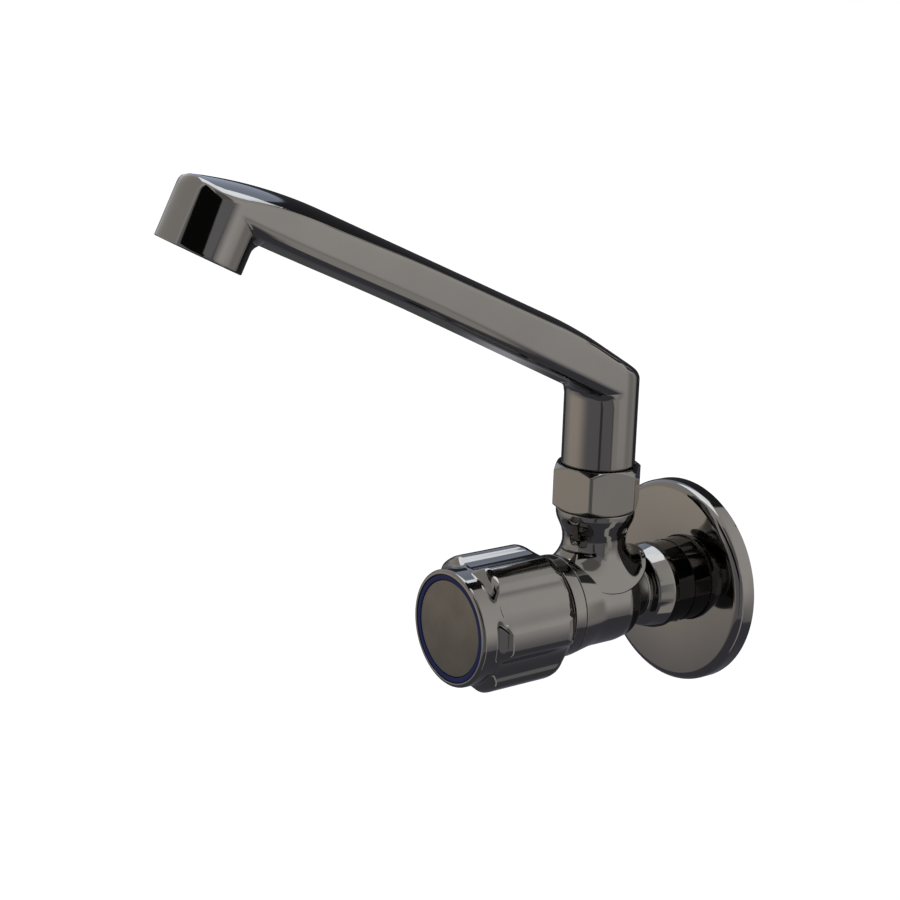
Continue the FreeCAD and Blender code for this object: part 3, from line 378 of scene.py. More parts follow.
def face_outwards(mesh):
    """Merge a mesh's doubles and turn its faces outwards."""
    work = bmesh.new()
    work.from_mesh(mesh)
    bmesh.ops.remove_doubles(work, verts=work.verts, dist=MERGE)
    stray = [edge for edge in work.edges if not edge.link_faces]
    bmesh.ops.delete(work, geom=stray, context="EDGES")
    bmesh.ops.recalc_face_normals(work, faces=work.faces)
    work.to_mesh(mesh)
    work.free()


def link_object(name, data):
    made = bpy.data.objects.new(name, data)
    bpy.context.scene.collection.objects.link(made)
    return made


def mesh_object(name, vertices, faces):
    mesh = bpy.data.meshes.new(name)
    mesh.from_pydata([tuple(vertex) for vertex in vertices], [], faces)
    face_outwards(mesh)
    mesh.shade_smooth()
    return link_object(name, mesh)


def ring_faces(rings, columns, round_about, loop):
    """Quads between neighbouring rings, closed round each ring and from the last ring to the first
    where asked."""
    faces = []
    for ring in range(rings if loop else rings - 1):
        following = (ring + 1) % rings
        for column in range(columns if round_about else columns - 1):
            beside = (column + 1) % columns
            faces.append((ring * columns + column, ring * columns + beside,
                          following * columns + beside, following * columns + column))
    return faces


def ring_object(name, points, columns, round_about, loop):
    """A mesh from rings of points, each with the same number of columns."""
    return mesh_object(name, points, ring_faces(len(points) // columns, columns, round_about, loop))


def rounded(corners, steps=8):
    """A (radius, height) line through corners, each rounded by its third value."""
    line = []
    for number, corner in enumerate(corners):
        here = np.array(corner[:2], float)
        size = corner[2] if len(corner) > 2 else 0
        if size == 0:
            line.append(here)
            continue
        before = np.array(corners[number - 1][:2], float) - here
        after = np.array(corners[(number + 1) % len(corners)][:2], float) - here
        before /= np.linalg.norm(before)
        after /= np.linalg.norm(after)
        half = math.acos(np.clip(before @ after, -1, 1)) / 2
        middle = before + after
        centre = here + middle / np.linalg.norm(middle) * size / math.sin(half)
        first = here + before * size / math.tan(half) - centre
        last = here + after * size / math.tan(half) - centre
        start = math.atan2(first[1], first[0])
        sweep = (math.atan2(last[1], last[0]) - start + math.pi) % (2 * math.pi) - math.pi
        for turn in np.linspace(start, start + sweep, steps + 1):
            line.append(centre + size * np.array([math.cos(turn), math.sin(turn)]))
    return np.array(line)


def lathe(name, corners, out=None, steps=8, columns=144):
    """A closed (radius, height) outline in millimetres, turned about the inlet axis, or upright at a
    distance from the wall."""
    points = turned(rounded(corners, steps) * MM, full_turn(columns))
    points = laid(points) if out is None else points - (0, out, 0)
    return ring_object(name, points, columns, True, True)


def finish_piece(piece, body, slot, finish, *nodes):
    """Give a piece its finish and its body, and hide the imported solids that it stands for. The slot is
    not used.
    """
    piece.data.materials.clear()
    piece.data.materials.append(bpy.data.materials[finish])
    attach(piece, body)
    if nodes:
        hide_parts(*nodes)


# Node trees, for shapes and for finishes.

def new_tree(name, kind, inputs, outputs):
    """A node group with its sockets, each given as its name, its kind and, where it has one, a default."""
    tree = bpy.data.node_groups.new(name, kind)
    for way, sockets in (("INPUT", inputs), ("OUTPUT", outputs)):
        for label, socket_kind, *default in sockets:
            socket = tree.interface.new_socket(label, in_out=way, socket_type="NodeSocket" + socket_kind)
            if default:
                socket.default_value = default[0]
    return tree, tree.nodes.new("NodeGroupInput").outputs, tree.nodes.new("NodeGroupOutput")


def set_inputs(tree, node, inputs):
    """Give a node's inputs their values, or link them to a socket or to a node's first output."""
    for name, value in inputs.items():
        if isinstance(value, bpy.types.Node):
            value = value.outputs[0]
        if isinstance(value, bpy.types.NodeSocket):
            tree.links.new(value, node.inputs[name])
        else:
            node.inputs[name].default_value = value


def add_node(tree, kind, inputs=None, **settings):
    node = tree.nodes.new(kind)
    for name, value in settings.items():
        setattr(node, name, value)
    set_inputs(tree, node, inputs or {})
    return node


def math_node(tree, operation, *values):
    return add_node(tree, "ShaderNodeMath", dict(enumerate(values)), operation=operation)


# Geometry Nodes: repeats about an axis, a thread, and the outlet's honeycomb.

def shape_tree(name, *inputs):
    return new_tree(name, "GeometryNodeTree", [("Geometry", "Geometry"), *inputs, ("Material", "Material")],
                    [("Geometry", "Geometry")])


def end_tree(tree, given, end, geometry):
    """Realize, merge, shade smooth and give the material."""
    real = add_node(tree, "GeometryNodeRealizeInstances", {"Geometry": geometry})
    merge = add_node(tree, "GeometryNodeMergeByDistance", {"Geometry": real, "Distance": 2 * MERGE})
    smooth = add_node(tree, "GeometryNodeSetShadeSmooth", {"Geometry": merge})
    finish = add_node(tree, "GeometryNodeSetMaterial", {"Geometry": smooth, "Material": given["Material"]})
    set_inputs(tree, end, {"Geometry": finish})
    return tree


def sector_tree():
    """Repeats one sector of a piece about an axis through the origin."""
    tree, given, end = shape_tree("Repeat a sector", ("Count", "Int", 6), ("Axis", "Vector"),
                                  ("Centre", "Vector"))
    points = add_node(tree, "GeometryNodePoints", {"Count": given["Count"]})
    number = add_node(tree, "GeometryNodeInputIndex")
    turn = math_node(tree, "DIVIDE", math_node(tree, "MULTIPLY", number, 2 * math.pi), given["Count"])
    rotation = add_node(tree, "FunctionNodeAxisAngleToRotation", {"Axis": given["Axis"], "Angle": turn})
    copies = add_node(tree, "GeometryNodeInstanceOnPoints",
                      {"Points": points, "Instance": given["Geometry"], "Rotation": rotation})
    move = add_node(tree, "GeometryNodeTransform", {"Geometry": copies, "Translation": given["Centre"]})
    return end_tree(tree, given, end, move)


def thread_tree():
    """A ridge wound round the Y axis as a screw thread."""
    tree, given, end = shape_tree("Screw thread", ("Radius", "Float", 0.01), ("Pitch", "Float", 0.0018),
                                  ("Turns", "Float", 7.0), ("Start", "Vector"))
    flank = math_node(tree, "MULTIPLY", given["Pitch"], 0.56)
    middle = math_node(tree, "SUBTRACT", given["Radius"], flank)
    spiral = add_node(tree, "GeometryNodeCurveSpiral", {
        "Resolution": 48, "Rotations": given["Turns"], "Start Radius": middle, "End Radius": middle,
        "Height": math_node(tree, "MULTIPLY", given["Pitch"], given["Turns"])})
    ridge = add_node(tree, "GeometryNodeCurvePrimitiveCircle", {"Resolution": 6, "Radius": flank})
    sweep = add_node(tree, "GeometryNodeCurveToMesh", {
        "Curve": spiral, "Profile Curve": ridge, "Fill Caps": True})
    lay = add_node(tree, "GeometryNodeTransform", {
        "Geometry": sweep, "Rotation": (-math.pi / 2, 0, 0), "Translation": given["Start"]})
    return end_tree(tree, given, end, lay)


def staggered_grid(tree, pitch, columns, rows):
    """Points on a grid whose odd rows are moved along by half a pitch, and their places before that."""
    row = math_node(tree, "MULTIPLY", pitch, math.sqrt(3) / 2)
    grid = add_node(tree, "GeometryNodeMeshGrid", {
        "Vertices X": columns, "Size X": math_node(tree, "MULTIPLY", pitch, columns - 1.0),
        "Vertices Y": rows, "Size Y": math_node(tree, "MULTIPLY", row, rows - 1.0)})
    place = add_node(tree, "GeometryNodeInputPosition")
    split = add_node(tree, "ShaderNodeSeparateXYZ", {0: place})
    number = math_node(tree, "ADD", math_node(tree, "DIVIDE", split.outputs["Y"], row), (rows - 1) / 2)
    odd = math_node(tree, "MODULO", math_node(tree, "ROUND", number), 2.0)
    shift = math_node(tree, "MULTIPLY", math_node(tree, "SUBTRACT", odd, 0.5),
                      math_node(tree, "MULTIPLY", pitch, 0.5))
    offset = add_node(tree, "ShaderNodeCombineXYZ", {"X": shift})
    return add_node(tree, "GeometryNodeSetPosition", {"Geometry": grid, "Offset": offset}), place


def honeycomb_tree():
    """Cells repeated on a staggered grid, kept inside a circle, then tilted and placed."""
    tree, given, end = shape_tree("Honeycomb", ("Pitch", "Float", 0.0016), ("Radius", "Float", 0.008),
                                  ("Tilt", "Vector"), ("Centre", "Vector"))
    points, place = staggered_grid(tree, given["Pitch"], 15, 17)
    far = add_node(tree, "ShaderNodeVectorMath", {0: place}, operation="LENGTH")
    outside = add_node(tree, "FunctionNodeCompare", {"A": far.outputs["Value"], "B": given["Radius"]},
                       data_type="FLOAT", operation="GREATER_THAN")
    keep = add_node(tree, "GeometryNodeDeleteGeometry", {"Geometry": points, "Selection": outside},
                    domain="POINT")
    copies = add_node(tree, "GeometryNodeInstanceOnPoints", {"Points": keep, "Instance": given["Geometry"]})
    tilt = add_node(tree, "GeometryNodeTransform", {
        "Geometry": copies, "Rotation": given["Tilt"], "Translation": given["Centre"]})
    return end_tree(tree, given, end, tilt)


def grown(source, name, tree, values):
    """Run a tree on an object, and turn the result into a plain mesh at the origin."""
    modifier = source.modifiers.new(tree.name, "NODES")
    modifier.node_group = tree
    sockets = {item.name: item.identifier for item in tree.interface.items_tree
               if item.item_type == "SOCKET" and item.in_out == "INPUT"}
    for label, value in values.items():
        modifier[sockets[label]] = value
    evaluated = source.evaluated_get(bpy.context.evaluated_depsgraph_get())
    mesh = bpy.data.meshes.new_from_object(evaluated)
    source.modifiers.remove(modifier)
    bpy.data.objects.remove(source)
    mesh.name = name
    face_outwards(mesh)
    return link_object(name, mesh)


def repeated(name, points, columns, count, axis, centre, finish):
    """A piece from one sector's rings, repeated about an axis through the origin and then moved."""
    sector = ring_object(name + " sector", points, columns, False, True)
    return grown(sector, name, sector_tree(), {
        "Count": count, "Axis": axis, "Centre": centre, "Material": bpy.data.materials[finish]})


# Finishes. The groups hold what several finishes share.

def tone_group():
    """A slow drift between two tones, as plating and moulded plastic have."""
    grey = (0.5, 0.5, 0.5, 1)
    tree, given, end = new_tree(
        "Tone drift", "ShaderNodeTree",
        [("Tone", "Color", grey), ("Other tone", "Color", grey), ("Scale", "Float", 30.0)],
        [("Color", "Color")])
    place = add_node(tree, "ShaderNodeTexCoord")
    cloud = add_node(tree, "ShaderNodeTexNoise", {
        "Detail": 3.0, "Vector": place.outputs["Object"], "Scale": given["Scale"]})
    spread = add_node(tree, "ShaderNodeMapRange", {
        "From Min": 0.35, "From Max": 0.65, "Value": cloud.outputs["Fac"]})
    mix = add_node(tree, "ShaderNodeMix", {
        "Factor": spread, "A": given["Tone"], "B": given["Other tone"]}, data_type="RGBA")
    set_inputs(tree, end, {"Color": mix.outputs["Result"]})
    return tree


def wear_group():
    """Roughness with fine wipe marks and faint smudges, and a slight unevenness of the surface."""
    tree, given, end = new_tree(
        "Wipe marks", "ShaderNodeTree",
        [("Roughness", "Float", 0.1), ("Marks", "Float", 0.05), ("Mark scale", "Float", 900.0),
         ("Smudge scale", "Float", 40.0), ("Unevenness", "Float", 0.02)],
        [("Roughness", "Float"), ("Normal", "Vector")])
    place = add_node(tree, "ShaderNodeTexCoord").outputs["Object"]
    stretch = add_node(tree, "ShaderNodeMapping", {
        "Vector": place, "Scale": (1.0, 0.12, 0.35), "Rotation": (0.3, 0.2, 0.5)})
    marks = add_node(tree, "ShaderNodeTexNoise", {
        "Detail": 2.0, "Vector": stretch, "Scale": given["Mark scale"]})
    smudge = add_node(tree, "ShaderNodeTexNoise", {
        "Detail": 4.0, "Vector": place, "Scale": given["Smudge scale"]})
    sharp = add_node(tree, "ShaderNodeMapRange", {
        "From Min": 0.58, "From Max": 0.75, "Value": marks.outputs["Fac"]})
    soft = add_node(tree, "ShaderNodeMapRange", {
        "From Min": 0.5, "From Max": 0.8, "Value": smudge.outputs["Fac"]})
    both = math_node(tree, "MAXIMUM", math_node(tree, "MULTIPLY", sharp, 0.6), soft)
    added = math_node(tree, "MULTIPLY", both, given["Marks"])
    bump = add_node(tree, "ShaderNodeBump", {
        "Distance": 0.1 * MM, "Strength": given["Unevenness"], "Height": smudge.outputs["Fac"]})
    set_inputs(tree, end, {"Roughness": math_node(tree, "ADD", given["Roughness"], added),
                           "Normal": bump.outputs["Normal"]})
    return tree


def new_material(name):
    made = bpy.data.materials.new(name)
    made.use_nodes = True
    return made


def make_finish(name, groups, tone, drop, metallic, roughness, marks, drift=30.0, mark_scale=900.0,
                smudge_scale=40.0, unevenness=0.02, specular=0.5):
    """A finish from the shared groups, whose second tone is the first one times the drop."""
    tree = new_material(name).node_tree
    other = [min(part * drop, 1.0) for part in tone]
    colours = add_node(tree, "ShaderNodeGroup", {
        "Tone": (*tone, 1), "Other tone": (*other, 1), "Scale": drift}, node_tree=groups["tone"])
    wear = add_node(tree, "ShaderNodeGroup", {
        "Roughness": roughness, "Marks": marks, "Mark scale": mark_scale, "Smudge scale": smudge_scale,
        "Unevenness": unevenness}, node_tree=groups["wear"])
    set_inputs(tree, tree.nodes["Principled BSDF"], {
        "Metallic": metallic, "Specular IOR Level": specular, "Base Color": colours.outputs["Color"],
        "Roughness": wear.outputs["Roughness"], "Normal": wear.outputs["Normal"]})


class TAP_OT_finishes(Operator):
    """Make the tap's finishes and give the inner pieces theirs"""
    bl_idname = "tap.finishes"
    bl_label = "Finishes"

    inner = {
        "Brass": ("bonnet", "spindle", "jumper"),
        "Steel": ("spindle_circlip", "knob_screw", "jumper_screw", "thrust_washer", "spout_retaining_ring",
                  "aerator_screen"),
        "Rubber": ("flange_grip_ring", "spindle_seals", "jumper_washer", "spout_seals", "aerator_seal"),
        "Fibre": ("bonnet_seal",),
        "White plastic": ("knob_bush", "slip_washer", "aerator_mixer"),
    }

    def execute(self, context):
        c = context.scene.tap_colours
        groups = {"tone": tone_group(), "wear": wear_group()}
        make_finish("Dark chrome", groups, c.chrome, 0.93, 1.0, c.polish, 0.05)
        make_finish("Satin cap", groups, c.cap, 0.86, 1.0, c.satin, 0.12, drift=120.0,
                    mark_scale=2500.0, smudge_scale=90.0, unevenness=0.06)
        make_finish("Index plastic", groups, c.index, 0.75, 0.0, 0.4, 0.15, specular=0.12)
        make_finish("Brass", groups, c.brass, 0.7, 1.0, 0.24, 0.2)
        make_finish("Steel", groups, c.steel, 0.85, 1.0, 0.26, 0.15)
        make_finish("Rubber", groups, c.rubber, 1.6, 0.0, 0.6, 0.2, unevenness=0.2)
        make_finish("Fibre", groups, c.fibre, 0.7, 0.0, 0.7, 0.15, drift=400.0, unevenness=0.3)
        make_finish("White plastic", groups, c.plastic, 0.92, 0.0, 0.38, 0.12)
        for finish, names in self.inner.items():
            for name in names:
                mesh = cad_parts[name].data
                mesh.materials.clear()
                mesh.materials.append(bpy.data.materials[finish])
        return {"FINISHED"}


def straight_run(start, stop, way, count):
    """Sections along a straight line, as their origins and their direction."""
    return [(place, way) for place in np.linspace(start, stop, count)]


def turning_run(pivot, angles, reaches, count):
    """Sections that turn about a pivot while their origins move away from it or towards it."""
    found = []
    for turn, reach in zip(np.linspace(*angles, count), np.linspace(*reaches, count)):
        way = np.array([math.cos(turn), math.sin(turn)])
        found.append((pivot + way * reach, way))
    return found


class TAP_OT_spout(Operator):
    """Make the cast spout: riser, elbow, arched arm and nozzle in one closed shell"""
    bl_idname = "tap.spout"
    bl_label = "Spout"

    columns = 192
    riser_rings = 12
    elbow_rings = 30
    arm_rings = 84
    nozzle_rings = 48
    lower_rings = 10
    # How far the arm's line of origins passes from the points about which the sections turn, at the
    # elbow and behind the nozzle
    elbow_reach = 10.5 * MM
    nozzle_reach = 7.5 * MM
    # The point under the elbow about which the sections turn: out of the riser, and over the underside
    elbow_gap = 1.2 * MM
    elbow_up = 4.2 * MM
    # The point behind the nozzle about which the sections turn: out of its wall, and up its axis
    corner_gap = 2.8 * MM
    corner_up = 10.2 * MM

    def sections(self, s):
        """Origins and outer directions, as (Y, Z) pairs, of sections that follow the spout."""
        normal = np.array([math.sin(s.rise), math.cos(s.rise)])
        elbow = np.array([-s.riser_out - s.riser_radius - self.elbow_gap, s.under_height + self.elbow_up])
        centre, across, upward = nozzle_axes(s)
        wall_gap = s.nozzle_radius + self.corner_gap
        inner = centre - across * wall_gap + upward * self.corner_up
        bend_end, tip_end = math.pi / 2 - s.rise, math.pi - s.nozzle_tilt
        riser = straight_run((-s.riser_out, s.riser_foot), (-s.riser_out, elbow[1]), (1.0, 0.0),
                             self.riser_rings + 1)
        bend = turning_run(elbow, (0.0, bend_end), (-s.riser_out - elbow[0], self.elbow_reach),
                           self.elbow_rings)
        arm = straight_run(bend[-1][0], inner + normal * self.nozzle_reach, normal, self.arm_rings)
        tip = turning_run(inner, (bend_end, tip_end), (self.nozzle_reach, wall_gap), self.nozzle_rings)
        lower = straight_run(centre + upward * self.corner_up, centre + upward * 0.8 * MM, across,
                             self.lower_rings)
        return riser[:-1] + bend + arm[1:] + tip[1:] + lower[1:]

    def shell(self, s, turns):
        """The spout's outer surface in rings, with the lower ones leaning towards the mouth's lean."""
        origins, directions = [], []
        sections = self.sections(s)
        for centre, way in sections:
            for turn in turns:
                origins.append((0, *centre))
                directions.append((math.cos(turn), math.sin(turn) * way[0], math.sin(turn) * way[1]))
        points = cast(origins, directions, lambda p: spout_distance(p, s))
        centre, across, upward = nozzle_axes(s)
        height = (points[:, 1:] - centre) @ upward
        low = np.arange(len(points)) >= (len(sections) - self.lower_rings) * self.columns
        share = np.where(low, np.clip(1 - height / self.corner_up, 0, 1), 0)
        points[:, 1:] -= np.outer(points[:, 0] * math.tan(s.mouth_lean) * share, upward)
        return points

    def mouth(self, s, turns):
        """Rings of the nozzle's rounded rim and its bore."""
        wall, bore, deep = s.nozzle_radius / MM, s.mouth_radius / MM, s.mouth_depth / MM
        corners = [(wall, 0.8), (wall, 0.0, 0.35), (bore, 0.0, 0.25), (bore, deep), (8.4, deep),
                   (8.4, 15.0), (0.0, 15.0)]
        rings = turned(rounded(corners, 4)[1:] * MM, turns)
        centre, across, upward = nozzle_axes(s)
        height = rings[:, 2] - rings[:, 0] * math.tan(s.mouth_lean)
        places = centre + np.outer(rings[:, 1], across) + np.outer(height, upward)
        return np.column_stack([rings[:, 0], places])

    def execute(self, context):
        s = context.scene.tap_spout
        turns = full_turn(self.columns)
        foot = [(0, -s.riser_out, s.riser_foot)] * self.columns
        points = np.vstack([foot, self.shell(s, turns), self.mouth(s, turns)])
        spout = ring_object("Spout", points, self.columns, True, False)
        finish_piece(spout, "swivel_spout", "black_chrome", "Dark chrome", "spout")
        return {"FINISHED"}


class TAP_OT_body(Operator):
    """Make the cast body: collar, bulb, branch, and the inlet with its thread"""
    bl_idname = "tap.body"
    bl_label = "Body"

    columns = 160
    fan_rings = 34
    thread_turns = 6.6
    thread_start = 1.6 * MM
    # Heights of the fan's pivot, of the stem's foot from which it spreads, and of the shell's apex
    pivot_up = 6.0 * MM
    stem_foot = 18.0 * MM
    apex_up = 10.0 * MM

    def execute(self, context):
        s = context.scene.tap_body
        out = context.scene.tap_spout.riser_out
        self.trunk(s)
        self.branch(s, out)
        spigot = lathe("Outlet_thread_tube", [
            (8.0, 31.0), (11.5, 31.0), (11.5, 41.0, 0.4), (8.0, 41.0, 0.3)], out=out)
        finish_piece(spigot, "valve_body", "brass", "Brass")
        seed = mesh_object("Thread seed", [(0, 0, 0)], [])
        ridge = grown(seed, "Inlet_thread", thread_tree(), {
            "Radius": s.thread_radius, "Pitch": s.thread_pitch, "Turns": self.thread_turns,
            "Start": (0.0, self.thread_start, 0.0), "Material": bpy.data.materials["Dark chrome"]})
        finish_piece(ridge, "valve_body", "black_chrome", "Dark chrome")
        return {"FINISHED"}

    def trunk(self, s):
        """The turned trunk along the inlet axis, from the inlet's end to the boss."""
        neck, bulb, boss = s.neck_radius / MM, s.bulb_radius / MM, s.boss_radius / MM
        crest = s.crest_radius / MM
        root = (s.thread_radius - 1.12 * s.thread_pitch) / MM
        trunk = lathe("Body", [
            (6.5, -15.0), (root, -15.0, 0.3), (root, 0.6), (14.2, 0.6, 0.3), (14.2, 14.3, 0.1),
            (crest, 14.45, 0.3), (crest - 0.15, 16.6, 3.0), (12.9, 22.0, 1.2), (neck, 23.0, 1.2),
            (neck, 29.6, 1.0), (bulb - 0.9, 31.6, 2.6), (bulb, 37.0, 8.0), (bulb, 48.0, 18.0),
            (boss, 56.9, 0.25), (10.6, 56.9), (10.6, 46.0), (6.5, 46.0),
        ])
        finish_piece(trunk, "valve_body", "black_chrome", "Dark chrome", "tap_body")

    def branch(self, s, out):
        """The branch's shell: level sections down to its blend, then a fan that sinks into the bulb."""
        turns = full_turn(self.columns)
        levels = stretches((31.55, 29.0, 6), (28.6, 23.0, 14), (22.5, 18.0, 6))
        origins, directions = level_rays(levels, turns, out)
        pivot = np.array([0, -out, self.pivot_up])
        reach = s.branch_radius + s.branch_blend + 1.5 * MM
        for share in np.linspace(0, 1, self.fan_rings)[1:]:
            for turn in turns:
                stem = np.array([s.branch_radius * math.cos(turn), s.branch_radius * math.sin(turn) - out,
                                 self.stem_foot])
                lean = reach * math.cos(turn) / s.bulb_radius
                foot = np.array([s.bulb_radius * math.sin(lean), reach * math.sin(turn) - out,
                                 s.bulb_radius * math.cos(lean)])
                way = stem + (foot - stem) * share - pivot
                origins.append(pivot)
                directions.append(way / np.linalg.norm(way))
        points = cast(origins, directions, lambda p: branch_distance(p, s, out))
        sunk = pivot + (points[-self.columns:] - pivot) * 0.93
        low = [(0, -out, self.apex_up)] * self.columns
        top = [(0, -out, levels[0])] * self.columns
        points = np.vstack([top, points, sunk, low])
        made = ring_object("Branch", points, self.columns, True, False)
        finish_piece(made, "valve_body", "black_chrome", "Dark chrome")


class TAP_OT_flange(Operator):
    """Make the pressed wall flange"""
    bl_idname = "tap.flange"
    bl_label = "Wall flange"

    def execute(self, context):
        s = context.scene.tap_flange
        rim, face, turn = s.radius / MM, s.depth / MM, s.rounding / MM
        bore, wall = s.bore / MM, s.wall / MM
        made = lathe("Wall_flange", [
            (bore, face, 0.2), (rim, face, turn), (rim, 0.0, 0.3), (rim - wall, 0.0, 0.3),
            (rim - wall, face - wall, turn - wall), (bore, face - wall, 0.2),
        ], steps=16, columns=256)
        finish_piece(made, "valve_body", "black_chrome", "Dark chrome", "wall_flange")
        return {"FINISHED"}


class TAP_OT_nut(Operator):
    """Make the hexagonal swivel nut from one repeated sector"""
    bl_idname = "tap.nut"
    bl_label = "Swivel nut"

    columns = 57
    edge_rings = 22
    side_rings = 6

    def levels(self, s):
        """Heights of the outer rings, close together over the bevels."""
        low, high, edge = s.bottom / MM, s.top / MM, 1.7 * s.bevel / MM
        gap = (high - low - 2 * edge) / (self.side_rings + 1)
        return stretches((low + 0.02, low + edge, self.edge_rings),
                         (low + edge + gap, high - edge - gap, self.side_rings),
                         (high - edge, high - 0.02, self.edge_rings))

    def execute(self, context):
        s = context.scene.tap_nut
        top, bottom = s.top / MM, s.bottom / MM
        turns = np.linspace(-math.pi / 6, math.pi / 6, self.columns)
        outer = cast(*level_rays(self.levels(s), turns), lambda p: nut_distance(p, s))
        inner = rounded([(12.9, top), (12.35, top, 0.3), (12.3, 44.6), (8.3, 44.6), (8.3, 42.8),
                         (11.55, 42.8), (11.55, bottom, 0.3), (12.9, bottom)], 4) * MM
        turn = Matrix.Rotation(s.corner_turn + math.pi / 6, 3, "Z")
        points = np.vstack([outer, turned(inner, turns)]) @ np.array(turn).T
        nut = repeated("Spout_nut", points, self.columns, 6, (0.0, 0.0, 1.0),
                       (0.0, -context.scene.tap_spout.riser_out, 0.0), "Dark chrome")
        finish_piece(nut, "valve_body", "black_chrome", "Dark chrome", "spout_nut")
        return {"FINISHED"}


class TAP_OT_knob(Operator):
    """Make the lobed knob from one repeated sector, with its trim ring, index ring and cap"""
    bl_idname = "tap.knob"
    bl_label = "Knob"

    columns = 73

    def execute(self, context):
        s = context.scene.tap_knob
        self.grip(s)
        recess, cap_rim, ring_rim = s.recess / MM, s.cap_radius / MM, s.ring_radius / MM
        ring_bore = cap_rim + 0.05
        ring = lathe("Index_ring", [
            (ring_bore, recess), (ring_rim, recess), (ring_rim, 99.8, 0.4), (ring_bore, 99.8, 0.25)])
        finish_piece(ring, "handle", "blue_plastic", "Index plastic", "index_ring")
        cap = lathe("Index_cap", [
            (0.0, 92.8), (4.15, 92.8), (4.15, recess), (cap_rim, recess), (cap_rim, 99.6, 0.35),
            (0.0, 99.6)])
        finish_piece(cap, "handle", "satin_cap", "Satin cap", "index_cap")
        trim = lathe("Bonnet_trim_ring", [
            (10.5, 57.0), (17.0, 57.05, 0.25), (17.0, 61.45, 0.25), (10.5, 61.5)])
        finish_piece(trim, "valve_body", "black_chrome", "Dark chrome", "bonnet_trim_ring")
        return {"FINISHED"}

    def grip(self, s):
        """The knob itself: one lobe's sector, with its front rim, recess and bore, repeated."""
        half = math.pi / s.lobes
        turns = np.linspace(-half, half, self.columns)
        levels = stretches((62.05, 64.5, 8), (64.8, 70.0, 30), (70.5, 87.5, 24), (88.0, 96.0, 54),
                           (96.5, 98.6, 5))
        outer = cast(*level_rays(levels, turns), lambda p: knob_distance(p, s))
        collar, bore = s.collar_radius / MM, s.ring_radius / MM + 0.05
        front, recess, back = s.front / MM, s.recess / MM, s.back / MM
        inner = rounded([
            (collar, 98.7), (collar, front, 1.1), (bore, front, 0.15), (bore, recess), (4.2, recess),
            (4.2, 90.0), (2.1, 90.0), (2.1, 88.2), (5.6, 88.2), (5.6, 74.0), (7.6, 74.0, 0.3), (7.6, 92.0),
            (15.0, 92.0), (15.0, back, 0.3), (s.skirt_radius / MM, back)], 6) * MM
        points = laid(np.vstack([outer, turned(inner, turns)]))
        knob = repeated("Knob", points, self.columns, s.lobes, (0.0, 1.0, 0.0), (0.0, 0.0, 0.0),
                        "Dark chrome")
        finish_piece(knob, "handle", "black_chrome", "Dark chrome", "knob")


class TAP_OT_outlet(Operator):
    """Make the outlet's insert with its honeycomb of openings"""
    bl_idname = "tap.outlet"
    bl_label = "Outlet"

    comb_radius = 8.6 * MM
    cell_pitch = 1.5 * MM
    # The honeycomb cell's wall as (radius, height up the nozzle) in millimetres
    cell_wall = ((0.78, 1.62), (0.78, 2.35), (0.93, 2.35), (0.93, 1.62))

    def execute(self, context):
        s = context.scene.tap_spout
        centre, across, upward = nozzle_axes(s)
        tilt = Matrix.Rotation(-s.nozzle_tilt, 4, "X")
        lean = Matrix.Identity(4)
        lean[2][0] = -math.tan(s.mouth_lean)
        housing = lathe("Aerator_housing", [
            (8.4, 0.3, 0.25), (11.2, 0.3, 0.4), (11.2, 10.0), (9.4, 10.0), (9.4, 1.6), (8.4, 1.6)], out=0.0)
        housing.data.transform(Matrix.Translation((0, *centre)) @ tilt @ lean)
        finish_piece(housing, "swivel_spout", "black_chrome", "Dark chrome", "aerator_housing")
        corners = np.radians(np.arange(30, 390, 60))
        cell = turned(self.cell_wall, corners) * MM
        seed = ring_object("Honeycomb cell", cell, len(corners), True, True)
        comb = grown(seed, "Aerator_comb", honeycomb_tree(), {
            "Pitch": self.cell_pitch, "Radius": self.comb_radius, "Material": bpy.data.materials["Steel"],
            "Tilt": (-s.nozzle_tilt, s.mouth_lean / math.cos(s.nozzle_tilt), 0.0),
            "Centre": (0.0, *[float(part) for part in centre])})
        finish_piece(comb, "swivel_spout", "steel", "Steel", "aerator_screen")
        return {"FINISHED"}


def span(left, right, low, high):
    """The corners of an upright card between two turns and two heights."""
    return (left, low), (right, low), (right, high), (left, high)


def seen_rays(tree):
    """1 for what the camera, reflections and clear pieces show, and 0 for the light that falls."""
    path = add_node(tree, "ShaderNodeLightPath").outputs
    seen = math_node(tree, "MAXIMUM", path["Is Camera Ray"], path["Is Glossy Ray"])
    return math_node(tree, "MAXIMUM", seen, path["Is Transmission Ray"])


